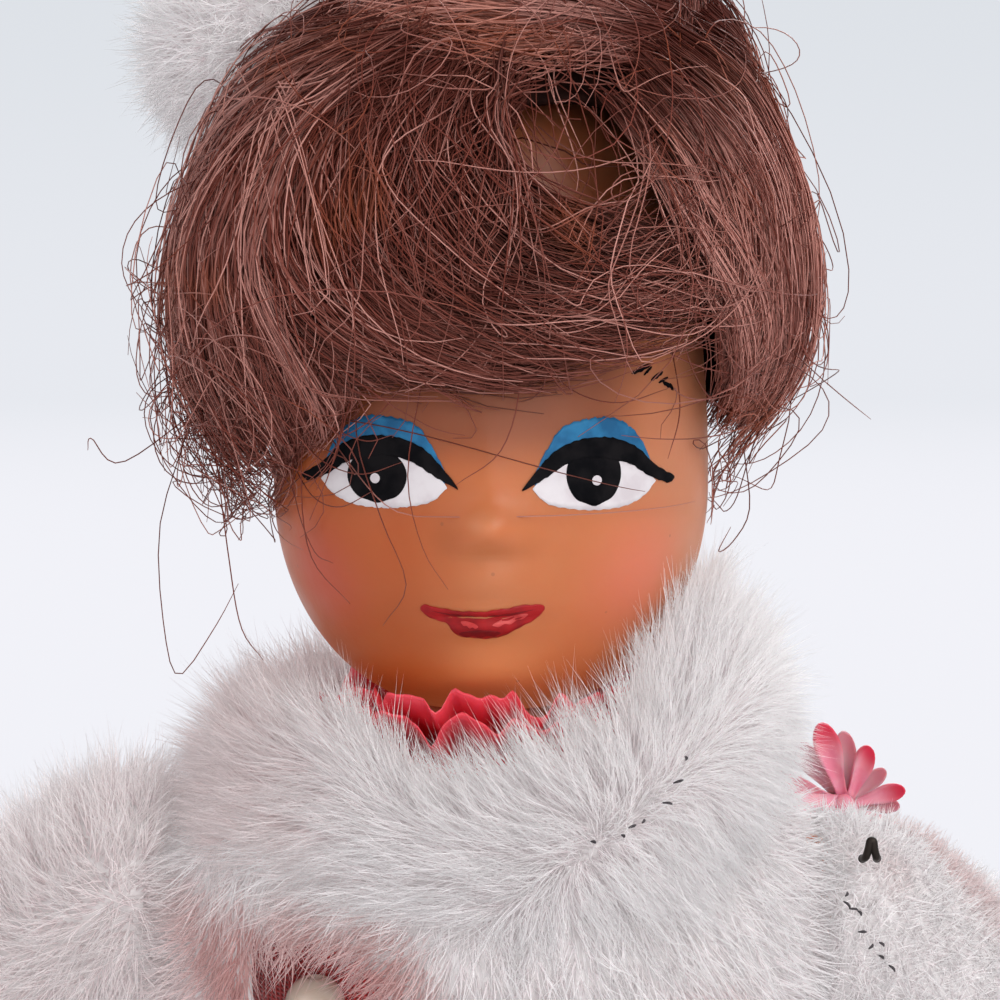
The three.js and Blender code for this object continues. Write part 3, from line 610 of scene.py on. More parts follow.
def cloth_material(name, low, high, threads):
    """Plain woven cloth: two sets of threads, one over the other."""
    material, tree, shader, place = new_material(name, Sheen_Weight=0.25, Sheen_Roughness=0.5)
    base = use_group(tree, MOTTLE, Place=place, Scale=380.0, Low=low, High=high)
    waves = []
    for axis in ("Z", "X"):
        wave = put(
            tree,
            "ShaderNodeTexWave",
            {"Vector": place, "Scale": threads, "Distortion": 0.6, "Detail": 1.0},
            bands_direction=axis,
        )
        waves.append(wave.outputs["Fac"])
    weave = sums(tree, "MAXIMUM", waves[0], waves[1])
    # Painted shade: the colour between the threads is darkened
    gap = (low[0] * 0.5, low[1] * 0.4, low[2] * 0.4)
    colour = mixed(tree, remap(tree, weave, 0.2, 0.9), gap, base["Colour"])
    feed(tree, shader.inputs["Base Color"], colour)
    grain = use_group(tree, GRAIN, Place=place, Scale=3000.0, Smooth=0.7, Dull=0.9)
    feed(tree, shader.inputs["Roughness"], grain["Roughness"])
    fuzz = sums(tree, "MULTIPLY", grain["Height"], 0.4)
    bump(tree, shader, sums(tree, "ADD", weave, fuzz), 0.5, 0.12)
    return material


def petal_material(name, base, tip, pale):
    """Thin moulded plastic petals, deeper in colour at the tips."""
    material, tree, shader, place = new_material(
        name, Subsurface_Weight=0.3, Subsurface_Scale=0.8 * MM, Specular_IOR_Level=0.5
    )
    along = point_value(tree, "along").outputs["Fac"]
    ground = use_group(tree, MOTTLE, Place=place, Scale=700.0, Low=base, High=pale)
    colour = mixed(tree, remap(tree, along, 0.45, 0.95), ground["Colour"], tip)
    plain_finish(tree, shader, place, colour, 1500.0, (0.34, 0.52), (0.2, 0.06))
    return material


def metal_material(name, low, high, smooth, dull):
    """Drawn wire and stamped sheet: a little duller in patches, with fine draw marks."""
    material, tree, shader, place = new_material(name, Metallic=1.0)
    base = use_group(tree, MOTTLE, Place=place, Scale=260.0, Low=low, High=high)
    plain_finish(tree, shader, place, base["Colour"], 5000.0, (smooth, dull), (0.12, 0.03))
    return material


def bead_material(name, low, high, smooth, dull, coat):
    """Small glossy beads, each place on them a little different in colour."""
    material, tree, shader, place = new_material(
        name, Coat_Weight=coat, Coat_Roughness=0.12, Subsurface_Weight=0.12, Subsurface_Scale=1.0 * MM
    )
    base = use_group(tree, MOTTLE, Place=place, Scale=320.0, Low=low, High=high)
    plain_finish(tree, shader, place, base["Colour"], 1500.0, (smooth, dull), (0.08, 0.03))
    return material


def body_material():
    """Blow-moulded body plastic with white painted shoes and a fine mould line."""
    material, tree, shader, place = new_material(
        "body_plastic", Subsurface_Weight=0.2, Subsurface_Scale=1.2 * MM, Specular_IOR_Level=0.45
    )
    base = use_group(
        tree, MOTTLE, Place=place, Scale=120.0, Low=(0.50, 0.18, 0.08), High=(0.55, 0.21, 0.098),
    )
    parts = put(tree, "ShaderNodeSeparateXYZ", {0: place}).outputs
    wobble = noise(tree, place, 420.0)["Fac"]
    edge = sums(tree, "ADD", parts["Z"], sums(tree, "MULTIPLY", wobble, 0.6 * MM))
    shoe = remap(tree, edge, 6.0 * MM, 6.3 * MM, 1.0, 0.0)
    colour = mixed(tree, shoe, base["Colour"], (0.80, 0.78, 0.76))
    line = remap(tree, sums(tree, "ABSOLUTE", parts["Y"]), 0.08 * MM, 0.3 * MM, 1.0, 0.0)
    colour = mixed(tree, sums(tree, "MULTIPLY", line, 0.45), colour, (0.34, 0.13, 0.07))
    feed(tree, shader.inputs["Base Color"], colour)
    grain = use_group(tree, GRAIN, Place=place, Scale=1800.0, Smooth=0.34, Dull=0.5)
    feed(tree, shader.inputs["Roughness"], grain["Roughness"])
    groove = sums(tree, "MULTIPLY", line, 2.0)
    bump(tree, shader, sums(tree, "SUBTRACT", grain["Height"], groove), 0.25, 0.08)
    return material


VINYL = vinyl_material()
BODY_PLASTIC = body_material()
HAIR = hair_material()
# Near-black paint for the cap under the hair: painted shade in the gaps between strands
SHADE_CAP_PAINT = paint_material("shade_cap", (0.014, 0.005, 0.004), (0.035, 0.012, 0.009), 0.7, 0.9, shine=0.05)
FUR = fur_material()
# Greyer than the pile: painted shade at the roots of the fur
FUR_BACKING = felt_material("fur_backing", (0.62, 0.59, 0.59), (0.72, 0.69, 0.69))
RED_CLOTH = cloth_material("red_cloth", (0.36, 0.012, 0.014), (0.50, 0.022, 0.022), 1300.0)
# Its darker red mottle is painted shade in the crumpled folds
RUFFLE = petal_material("ruffle_red", (0.72, 0.020, 0.040), (0.80, 0.055, 0.085), (0.46, 0.010, 0.022))
PALE_PINK = petal_material("flower_pale", (0.62, 0.34, 0.39), (0.60, 0.26, 0.31), (0.68, 0.46, 0.50))
PINK = petal_material("flower_pink", (0.80, 0.24, 0.34), (0.70, 0.025, 0.075), (0.86, 0.42, 0.50))
EYE_WHITE = paint_material("eye_white", (0.60, 0.545, 0.57), (0.68, 0.64, 0.66), 0.4, 0.55, shine=0.25)
EYE_BLACK = paint_material(
    "eye_black", (0.003, 0.003, 0.004), (0.009, 0.008, 0.009), 0.5, 0.7, shine=0.03,
)
EYE_BLUE = paint_material("eye_blue", (0.010, 0.095, 0.22), (0.020, 0.165, 0.34), 0.4, 0.55, shine=0.2)
LIP_RED = paint_material("lip_red", (0.22, 0.004, 0.006), (0.36, 0.008, 0.010), 0.3, 0.44, shine=0.2)
LIP_DARK = paint_material("lip_dark", (0.11, 0.004, 0.005), (0.20, 0.006, 0.008), 0.3, 0.45, shine=0.2)
LIP_SHINE = paint_material("lip_shine", (0.46, 0.025, 0.025), (0.60, 0.08, 0.075), 0.26, 0.38, shine=0.25)
PEARL = bead_material("cream_pearl", (0.62, 0.50, 0.40), (0.74, 0.64, 0.54), 0.2, 0.32, 0.5)
BEAD_WHITE = bead_material("white_pearl", (0.72, 0.68, 0.64), (0.82, 0.79, 0.76), 0.2, 0.32, 0.5)
BEAD_RED = bead_material("red_bead", (0.42, 0.010, 0.014), (0.56, 0.02, 0.024), 0.14, 0.24, 0.4)
BEAD_PINK = bead_material("pink_bead", (0.72, 0.20, 0.30), (0.80, 0.32, 0.42), 0.16, 0.26, 0.4)
PIN_STEEL = metal_material("nickel_pin", (0.62, 0.61, 0.59), (0.74, 0.73, 0.71), 0.2, 0.34)
RING_STEEL = metal_material("ring_wire", (0.50, 0.50, 0.50), (0.64, 0.64, 0.64), 0.24, 0.4)
DARK_STEEL = metal_material("black_hook", (0.012, 0.010, 0.009), (0.035, 0.028, 0.024), 0.35, 0.55)
STITCH = paint_material("dark_thread", (0.03, 0.026, 0.03), (0.07, 0.06, 0.065), 0.6, 0.8)


def finished(piece, material, body, stands_for=()):
    """Gives a piece its finish and the body that it moves with."""
    piece.data.materials.clear()
    piece.data.materials.append(material)
    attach(piece, body)
    if stands_for:
        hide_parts(*stands_for)
    return piece


# Geometry node trees


def with_material(tree, given, end, geometry):
    done = put(
        tree, "GeometryNodeSetMaterial", {"Geometry": geometry, "Material": given["Material"]}
    )
    feed(tree, end, done.outputs[0])
    return tree


def strand_tree():
    """Round strands along the edges of a mesh of lines."""
    tree, given, out = new_tree(
        "wig_strands",
        "GeometryNodeTree",
        [("Lines", GEOMETRY), ("Sides", INTEGER), ("Material", MATERIAL)],
        [("Strands", GEOMETRY)],
    )
    curve = put(tree, "GeometryNodeMeshToCurve", {"Mesh": given["Lines"]})
    profile = put(tree, "GeometryNodeCurvePrimitiveCircle", {"Resolution": given["Sides"], "Radius": 1.0})
    tube = put(
        tree,
        "GeometryNodeCurveToMesh",
        {
            "Curve": curve.outputs[0],
            "Profile Curve": profile.outputs[0],
            "Scale": named(tree, "width"),
            "Fill Caps": True,
        },
    )
    soft = put(tree, "GeometryNodeSetShadeSmooth", {"Geometry": tube.outputs[0]})
    real = put(tree, "GeometryNodeRealizeInstances", {"Geometry": soft.outputs[0]})
    return with_material(tree, given, out["Strands"], real.outputs[0])


def random_number(tree, low, high, seed):
    made = put(tree, "FunctionNodeRandomValue", {"Seed": seed}, data_type="FLOAT")
    feed(tree, made.inputs[2], low)
    feed(tree, made.inputs[3], high)
    return made.outputs[1]


def random_vector(tree, reach, seed):
    made = put(tree, "FunctionNodeRandomValue", {"Seed": seed}, data_type="FLOAT_VECTOR")
    made.inputs[0].default_value = (-reach, -reach, -reach)
    made.inputs[1].default_value = (reach, reach, reach)
    return made.outputs[0]


def named(tree, name, kind="FLOAT"):
    made = put(tree, "GeometryNodeInputNamedAttribute", {"Name": name}, data_type=kind)
    return made.outputs["Attribute"]


def stored(tree, geometry, name, value, domain):
    made = put(
        tree,
        "GeometryNodeStoreNamedAttribute",
        {"Geometry": geometry, "Name": name, "Value": value},
        data_type="FLOAT",
        domain=domain,
    )
    return made.outputs[0]


def fur_tree():
    """Fibres on a skin, leaning with its comb and drawn together into tufts."""
    tree, given, out = new_tree(
        "fur_pile",
        "GeometryNodeTree",
        [
            ("Skin", GEOMETRY),
            *[(label, FLOAT) for label in ("Density", "Pile", "Width", "Bend")],
            *[(label, FLOAT) for label in ("Tuft Size", "Tuft Pull", "Stray")],
            *[(label, INTEGER) for label in ("Joints", "Seed")],
            ("Material", MATERIAL),
        ],
        [("Fur", GEOMETRY)],
    )
    crowd = sums(tree, "MULTIPLY", given["Density"], named(tree, "thick"))
    spread = put(
        tree,
        "GeometryNodeDistributePointsOnFaces",
        {"Mesh": given["Skin"], "Density": crowd, "Seed": given["Seed"]},
        distribute_method="RANDOM",
    )
    points = spread.outputs["Points"]
    here = put(tree, "GeometryNodeInputPosition").outputs[0]
    tuft_scale = sums(tree, "DIVIDE", 1.0, given["Tuft Size"])
    tuft = put(tree, "ShaderNodeTexVoronoi", {"Vector": here, "Scale": tuft_scale})
    pull = vectors(tree, "SUBTRACT", tuft.outputs["Position"], here)
    pull = vectors(tree, "SCALE", pull, scale=sums(tree, "DIVIDE", given["Tuft Pull"], given["Pile"]))
    drift = noise(tree, here, sums(tree, "MULTIPLY", tuft_scale, 0.45))
    swirl = vectors(tree, "SUBTRACT", drift["Color"], (0.5, 0.5, 0.5))
    way = vectors(tree, "ADD", named(tree, "comb", "FLOAT_VECTOR"), pull)
    way = vectors(tree, "ADD", way, vectors(tree, "SCALE", swirl, scale=1.1))
    stray = vectors(tree, "SCALE", random_vector(tree, 1.0, 11), scale=given["Stray"])
    way = vectors(tree, "ADD", way, stray)
    turn = put(tree, "FunctionNodeAlignRotationToVector", {"Vector": way}, axis="Z")
    twist = put(
        tree,
        "FunctionNodeAxisAngleToRotation",
        {"Axis": (0.0, 0.0, 1.0), "Angle": random_number(tree, 0.0, TURN, 12)},
    )
    turned = put(
        tree,
        "FunctionNodeRotateRotation",
        {"Rotation": turn.outputs[0], "Rotate By": twist.outputs[0]},
        rotation_space="LOCAL",
    )
    length = sums(tree, "MULTIPLY", given["Pile"], named(tree, "pile"))
    length = sums(tree, "MULTIPLY", length, random_number(tree, 0.62, 1.12, 13))
    lift = remap(tree, drift["Fac"], 0.3, 0.7, 0.82, 1.15, "LINEAR")
    length = sums(tree, "MULTIPLY", length, lift)
    width = sums(tree, "MULTIPLY", given["Width"], random_number(tree, 0.75, 1.2, 14))
    size = put(tree, "ShaderNodeCombineXYZ", {0: width, 1: width, 2: length})
    cone = put(
        tree,
        "GeometryNodeMeshCone",
        {
            "Vertices": 3,
            "Side Segments": given["Joints"],
            "Radius Top": 0.0,
            "Radius Bottom": 1.0,
            "Depth": 1.0,
        },
        fill_type="NONE",
    )
    height = put(tree, "ShaderNodeSeparateXYZ", {0: here}).outputs["Z"]
    curl = sums(tree, "MULTIPLY", given["Bend"], sums(tree, "POWER", height, 2.0))
    offset = put(tree, "ShaderNodeCombineXYZ", {0: curl})
    fibre = stored(tree, cone.outputs["Mesh"], "along", height, "POINT")
    fibre = put(tree, "GeometryNodeSetPosition", {"Geometry": fibre, "Offset": offset.outputs[0]})
    planted = put(
        tree,
        "GeometryNodeInstanceOnPoints",
        {
            "Points": points,
            "Instance": fibre.outputs[0],
            "Rotation": turned.outputs[0],
            "Scale": size.outputs[0],
        },
    ).outputs[0]
    planted = stored(tree, planted, "tint", random_number(tree, 0.0, 1.0, 15), "INSTANCE")
    real = put(tree, "GeometryNodeRealizeInstances", {"Geometry": planted})
    soft = put(tree, "GeometryNodeSetShadeSmooth", {"Geometry": real.outputs[0]})
    return with_material(tree, given, out["Fur"], soft.outputs[0])


def round_row_tree():
    """One form set at even steps round the doll, each a little turned as if by hand."""
    tree, given, out = new_tree(
        "round_row",
        "GeometryNodeTree",
        [
            ("Form", GEOMETRY),
            ("Count", INTEGER),
            *[(label, FLOAT) for label in ("Radius", "Height", "Start", "Unevenness")],
            ("Seed", INTEGER),
            ("Material", MATERIAL),
        ],
        [("Row", GEOMETRY)],
    )
    index = put(tree, "GeometryNodeInputIndex").outputs[0]
    share = sums(tree, "DIVIDE", sums(tree, "ADD", index, given["Start"]), given["Count"])
    angle = sums(tree, "SUBTRACT", sums(tree, "MULTIPLY", share, TURN), TURN / 4)
    place = put(
        tree,
        "ShaderNodeCombineXYZ",
        {
            0: sums(tree, "MULTIPLY", sums(tree, "COSINE", angle), given["Radius"]),
            1: sums(tree, "MULTIPLY", sums(tree, "SINE", angle), given["Radius"]),
            2: given["Height"],
        },
    )
    spots = put(tree, "GeometryNodePoints", {"Count": given["Count"], "Position": place.outputs[0]})
    rock = random_vector(tree, 1.0, given["Seed"])
    tilt = vectors(tree, "SCALE", rock, scale=given["Unevenness"])
    facing = vectors(tree, "ADD", put(tree, "ShaderNodeCombineXYZ", {2: angle}).outputs[0], tilt)
    turn = put(tree, "FunctionNodeEulerToRotation", {"Euler": facing})
    row = put(
        tree,
        "GeometryNodeInstanceOnPoints",
        {"Points": spots.outputs[0], "Instance": given["Form"], "Rotation": turn.outputs[0]},
    )
    real = put(tree, "GeometryNodeRealizeInstances", {"Geometry": row.outputs[0]})
    return with_material(tree, given, out["Row"], real.outputs[0])


def run_tree(obj, tree, values):
    """Runs a tree on an object with the given inputs and keeps the plain mesh."""
    modifier = obj.modifiers.new(tree.name, "NODES")
    modifier.node_group = tree
    for item in tree.interface.items_tree:
        if item.item_type == "SOCKET" and item.in_out == "INPUT" and item.name in values:
            modifier[item.identifier] = values[item.name]
    return plain_mesh(obj)


STRANDS = strand_tree()
FUR_PILE = fur_tree()
ROUND_ROW = round_row_tree()


# Camera, light and floor


def photo_camera():
    data = bpy.data.cameras.new("photo_camera")
    data.sensor_fit = "HORIZONTAL"
    data.angle = 2 * math.atan(FRAME_WIDTH / 2 / CAMERA_DISTANCE)
    data.clip_start = 0.01
    camera = new_object("photo_camera", data)
    aim = Vector(CAMERA_AIM) * MM
    away = Vector((0, -math.cos(CAMERA_ELEVATION), math.sin(CAMERA_ELEVATION)))
    camera.location = aim + away * CAMERA_DISTANCE * MM
    camera.rotation_euler = (-away).to_track_quat("-Z", "Y").to_euler()
    bpy.context.scene.camera = camera


FLOOR_REACH = 4000
BACKDROP_LOW = (0.885, 0.888, 0.94)
BACKDROP_MIDDLE = (0.80, 0.818, 0.868)
BACKDROP_HIGH = (0.725, 0.755, 0.80)


def seen_rays(tree):
    path = put(tree, "ShaderNodeLightPath").outputs
    seen = sums(tree, "MAXIMUM", path["Is Camera Ray"], path["Is Glossy Ray"])
    return sums(tree, "MAXIMUM", seen, path["Is Transmission Ray"])


def pale_world():
    world = bpy.data.worlds.new("pale_studio")
    bpy.context.scene.world = world
    world.use_nodes = True
    tree = world.node_tree
    tree.nodes.clear()
    way = put(tree, "ShaderNodeTexCoord").outputs["Generated"]
    rise = put(tree, "ShaderNodeSeparateXYZ", {0: way}).outputs["Z"]
    sky = mixed(tree, remap(tree, rise, -0.03, 0.14), BACKDROP_MIDDLE, BACKDROP_HIGH)
    shown = put(tree, "ShaderNodeBackground", {"Color": sky, "Strength": 1.0})
    light = put(tree, "ShaderNodeBackground", {"Color": (0.96, 0.97, 1.0), "Strength": 0.6})
    pick = put(
        tree, "ShaderNodeMixShader", {0: seen_rays(tree), 1: light.outputs[0], 2: shown.outputs[0]},
    )
    put(tree, "ShaderNodeOutputWorld", {"Surface": pick.outputs[0]})


def pale_floor():
    """A pale table that takes the shadow near the doll and fades into the backdrop."""
    rows = 40
    columns = 64
    reaches = np.linspace(0.001, 1.0, rows) ** 2 * FLOOR_REACH
    points = [oval(reach, reach, 0.0, columns) for reach in reaches]
    faces = grid_faces(rows, columns)
    faces.append(tuple(reversed(range(columns))))
    faces = [tuple(reversed(face)) for face in faces]
    floor = mesh_object("pale_floor", np.concatenate(points), faces)
    material, tree, shader, place = new_material("pale_table", Roughness=0.8)
    base = use_group(
        tree, MOTTLE, Place=place, Scale=30.0, Low=(0.80, 0.80, 0.82), High=(0.84, 0.84, 0.86),
    )
    feed(tree, shader.inputs["Base Color"], base["Colour"])
    away = vectors(tree, "LENGTH", place)
    backdrop = mixed(tree, remap(tree, away, 0.9, 3.6), BACKDROP_LOW, BACKDROP_MIDDLE)
    shown = put(tree, "ShaderNodeEmission", {"Color": backdrop, "Strength": 1.0})
    far = remap(tree, away, 0.07, 0.26)
    share = sums(tree, "MULTIPLY", far, seen_rays(tree))
    pick = put(tree, "ShaderNodeMixShader", {0: share, 1: shader.outputs[0], 2: shown.outputs[0]})
    feed(tree, tree.nodes["Material Output"].inputs["Surface"], pick.outputs[0])
    floor.data.materials.append(material)


def soft_lamp(name, place, aim, size, power, colour=(1, 1, 1)):
    data = bpy.data.lights.new(name, "AREA")
    data.size = size
    data.energy = power
    data.color = colour
    lamp = new_object(name, data)
    lamp.location = place
    lamp.rotation_euler = (Vector(aim) - Vector(place)).to_track_quat("-Z", "Y").to_euler()


photo_camera()
pale_world()
pale_floor()
soft_lamp("window", (0.36, -0.42, 0.50), (0, 0, 0.10), 0.40, 2.2, (1.0, 0.98, 0.96))
soft_lamp("room", (-0.50, -0.35, 0.34), (0, 0, 0.10), 0.5, 0.8, (1.0, 0.97, 0.95))
soft_lamp("table", (0.14, -0.50, 0.03), (0, 0, 0.10), 0.45, 1.0, (1.0, 0.98, 0.97))
soft_lamp("back", (0.15, 0.5, 0.45), (0, 0, 0.11), 0.4, 2.2, (0.96, 0.98, 1.0))
bpy.context.scene.view_settings.view_transform = "Standard"


# Head and face


# How far the features and the paint sit above their drawn places
PAINT_RISE = 0.55


def face_relief(x, v):
    """How far the face stands out of the plain egg, from nose, lips, cheeks and chin."""
    v = v - PAINT_RISE
    out = 1.3 * bell(x, v, -0.1, -2.1, 1.65, 1.15)
    out += 0.16 * (bell(x, v, -1.4, -2.7, 1.0, 0.9) + bell(x, v, 1.4, -2.7, 1.0, 0.9))
    out += 0.25 * bell(x, v, 0.05, 0.4, 1.1, 2.2)
    out += 0.5 * bell(x, v, 0.0, -4.6, 1.9, 1.2) - 0.22 * bell(x, v, 0.0, -3.45, 1.7, 0.35)
    out += 0.42 * bell(x, v, -0.3, -6.0, 3.3, 2.0)
    out += 0.26 * bell(x, v, -0.35, -6.05, 2.3, 0.34) - 0.2 * bell(x, v, -0.4, -6.42, 2.2, 0.16)
    out += 0.36 * bell(x, v, -0.4, -6.95, 1.6, 0.45)
    out += 0.36 * bell(x, v, -0.3, -9.3, 2.4, 1.2)
    out += 0.34 * (bell(x, v, -6.6, -4, 2.6, 2.6) + bell(x, v, 6.6, -4, 2.6, 2.6))
    out -= 0.26 * (bell(x, v, -5.2, 0.6, 2.6, 2.0) + bell(x, v, 5.2, 0.6, 2.6, 2.0))
    return out


def head_girth(v):
    height = np.where(v < 0, JAW_HEIGHT, SKULL_HEIGHT)
    power = np.where(v < 0, JAW_FULLNESS, 0.22)
    return np.clip(1 - (v / height) ** 2, 0, 1) ** power


def face_y(x, v):
    """Depth of the face at a place seen from the front."""
    flat = np.sqrt(np.clip(head_girth(v) ** 2 - (x / HEAD_HALF_WIDTH) ** 2, 0, 1))
    plain = -HEAD_HALF_DEPTH * flat
    return plain - face_relief(x, v) * smooth_step(0, 5, -plain)


def head_piece():
    rows = 132
    columns = 176
    step = np.arange(columns) / columns * TURN - math.pi
    angles = step - 0.45 * np.sin(step)
    open_share = (NECK_HOLE / HEAD_HALF_DEPTH) ** (1 / JAW_FULLNESS)
    lowest = -math.asin(math.sqrt(1 - open_share)) / (math.pi / 2)
    levels = np.linspace(lowest, 0.995, rows)
    lines = []
    for level in levels:
        v = (JAW_HEIGHT if level < 0 else SKULL_HEIGHT) * math.sin(level * math.pi / 2)
        girth = head_girth(np.array(v))
        x = HEAD_HALF_WIDTH * girth * np.sin(angles)
        y = -HEAD_HALF_DEPTH * girth * np.cos(angles)
        y = y - face_relief(x, v) * smooth_step(0, 5, -y)
        lines.append(np.column_stack([x, y, np.full(columns, HEAD_Z + v)]))
    points = np.concatenate(lines)
    faces = grid_faces(rows, columns)
    faces.append(tuple(range((rows - 1) * columns, rows * columns)))
    head = mesh_object("head", points, faces)
    thicken(head, 1.2)
    return finished(head, VINYL, "head", ["head_shell"])


def edge_line(points):
    """An edge of painted work as a height for each place across the face."""
    curve = smooth_line(points, 60)
    return lambda across: np.interp(across, curve[:, 0], curve[:, 1])


def film(form, across, low, high, lift):
    """A thin skin of paint on the face between a lower and an upper edge."""
    low = low + PAINT_RISE
    high = high + PAINT_RISE
    rows = 9
    columns = len(across)
    high = np.maximum(high, low + 0.012)
    share = np.linspace(0, 1, rows)[:, None]
    u = np.tile(across, (rows, 1))
    v = low + (high - low) * share
    depth = face_y(u, v)
    outer = np.stack([u, depth - lift, HEAD_Z + v], 2).reshape(-1, 3)
    inner = np.stack([u, depth + 0.15, HEAD_Z + v], 2).reshape(-1, 3)
    count = rows * columns
    faces = grid_faces(rows, columns, closed=False)
    faces += [tuple(index + count for index in reversed(face)) for face in faces]
    for here, after in rim_pairs(rows, columns):
        faces.append((here, here + count, after + count, after))
    form.add(np.concatenate([outer, inner]), faces)


def dab(form, middle, half_width, half_height, lift, wobble=0.0, turn=0.0):
    """A round or oval dab of paint."""
    share = np.cos(np.linspace(math.pi, 0, 26))
    across = middle[0] + share * half_width
    reach = np.sqrt(np.clip(1 - share**2, 0, 1)) * half_height
    uneven = 1 + wobble * np.sin(share * 9.0 + 1.3)
    drift = turn * share * half_width
    film(form, across, middle[1] + drift - reach * uneven, middle[1] + drift + reach, lift)


EYE_TOP = [
    (2.0, -0.2), (2.6, 0.45), (3.67, 1.1), (4.95, 1.4), (6.2, 1.15), (7.1, 0.75), (7.7, 0.3), (
        8.02, 0.02,
    ),
]
EYE_LOW = [
    (2.0, -0.24), (2.7, -0.90), (3.8, -1.17), (5.05, -1.27), (6.42, -1.13), (7.39, -0.69), (8.02, 0.0),
]
SHADOW_TOP = [
    (2.1, 0.5), (2.5, 1.35), (2.85, 1.93), (3.3, 2.6), (4.1, 2.98), (5.5, 3.16), (6.4, 2.9), (7.1, 2.27),
    (7.6, 1.4), (7.78, 0.9),
]
LINER_TOP = [
    (1.5, -0.25), (1.9, 0.3), (2.98, 1.51), (4.08, 2.06), (5.05, 2.20), (6.0, 2.13), (7.1, 1.65),
    (7.95, 0.83), (9.0, 0.18),
]
LINER_LOW = [
    (1.5, -0.32), (2.57, 0.27), (3.67, 0.96), (4.9, 1.24), (6.2, 1.03), (6.84, 0.82), (7.66, 0.27),
    (8.7, -0.14), (9.0, 0.1),
]
BROW = [
    ((7.27, 5.42), 0.5, 0.13, 0.42), ((7.6, 5.32), 0.22, 0.09, 0.9), ((8.07, 5.06), 0.32, 0.12, 0.6),
    ((8.4, 4.86), 0.26, 0.08, 0.5),
]
BROW += [((8.62, 4.62), 0.26, 0.12, -0.5), ((8.82, 4.52), 0.12, 0.14, -1.0)]


def eyes():
    white = Form()
    black = Form()
    blue = Form()
    glint = Form()
    for side in (1, -1):

        def placed(points):
            if side > 0:
                return points
            return [(0.02 - u * 1.03, v + 0.1) for u, v in reversed(points)]

        def between(form, low, high, lift, rough):
            low = placed(low)
            high = placed(high)
            across = np.linspace(high[0][0] + 0.01, high[-1][0] - 0.01, 56)
            ragged = rough * (np.sin(across * 13) + 0.7 * np.sin(across * 29 + 1))
            film(form, across, edge_line(low)(across) + ragged, edge_line(high)(across) + ragged, lift)

        between(white, EYE_LOW, EYE_TOP, 0.035, 0.02)
        between(blue, EYE_TOP, SHADOW_TOP, 0.03, 0.035)
        between(black, LINER_LOW, LINER_TOP, 0.06, 0.02)
        if side > 0:
            dab(black, (4.94, 0.46), 1.33, 1.5, 0.05, 0.03)
            dab(glint, (5.09, 0.14), 0.235, 0.24, 0.075)
        else:
            dab(black, (-5.43, 0.36), 1.46, 1.26, 0.05, 0.03)
            dab(glint, (-5.52, 0.23), 0.235, 0.24, 0.075)
        for (u, v), half, thick, tilt in BROW:
            dab(black, (side * u, v), half, thick, 0.03, 0.2, side * tilt)
    finished(white.make("eye_whites"), EYE_WHITE, "head")
    finished(blue.make("eye_shadow"), EYE_BLUE, "head")
    finished(black.make("eye_lines"), EYE_BLACK, "head")
    finished(glint.make("eye_glints"), EYE_WHITE, "head")


LIP_TOP = [
    (-3.38, -5.95), (-3.1, -5.8), (-2.6, -5.9), (-1.7, -6.02), (-0.7, -6.05), (0.0, -6.0), (0.8, -5.88),
    (1.6, -5.76), (2.4, -5.76), (2.62, -5.92),
]
LIP_LOW = [
    (-3.38, -6.05), (-3.1, -6.35), (-2.6, -6.55), (-2.1, -6.72), (-1.8, -7.12), (-1.4, -7.36),
    (-0.5, -7.46), (0.4, -7.4), (1.06, -7.08), (1.74, -6.74), (2.3, -6.38), (2.62, -6.0),
]


def lips():
    paint = Form()
    shine = Form()
    shade = Form()
    high = edge_line(LIP_TOP)
    low = edge_line(LIP_LOW)
    across = np.linspace(-3.36, 2.6, 70)
    ragged = 0.016 * np.sin(across * 5.3) + 0.014 * np.sin(across * 11.7 + 1)
    film(paint, across, low(across) + ragged, high(across) + ragged, 0.04)
    parting = edge_line([(-2.9, -6.08), (-1.6, -6.3), (-0.4, -6.36), (0.8, -6.24), (2.2, -5.98)])
    across = np.linspace(-2.8, 2.1, 40)
    thick = 0.085 * np.sin(np.linspace(0.1, math.pi - 0.1, 40))
    film(shade, across, parting(across) - thick, parting(across) + thick, 0.05)
    dab(shade, (-0.5, -7.2), 1.0, 0.2, 0.05, 0.3, 0.03)
    dab(shine, (0.95, -6.5), 0.85, 0.17, 0.055, 0.3, 0.3)
    dab(shine, (-1.0, -6.72), 0.42, 0.14, 0.055, 0.3, -0.25)
    finished(paint.make("lips"), LIP_RED, "head")
    finished(shade.make("lip_shade"), LIP_DARK, "head")
    finished(shine.make("lip_shine"), LIP_SHINE, "head")


head_piece()
eyes()
lips()


# Wig


WIG_Z = 117.0
WIG_DEEP = 15.2
WIG_UP = 16.5
WIG_DOWN = 12.0

# Height, and how far the wig reaches to the doll's right and left there
WIG_OUTLINE = [
    (104.0, -11.4, 10.4),
    (107.7, -13.8, 12.4),
    (110.2, -15.0, 14.4),
    (112.8, -15.7, 15.7),
    (115.4, -15.9, 16.0),
    (118.0, -15.6, 15.8),
    (120.5, -14.8, 15.2),
    (123.0, -13.9, 14.3),
    (125.6, -12.8, 13.4),
    (128.0, -10.9, 12.7),
    (130.7, -7.8, 11.2),
    (132.6, -4.4, 8.2),
    (133.5, 0.6, 2.6),
]
WIG_LINE = smooth_line(WIG_OUTLINE, 120)


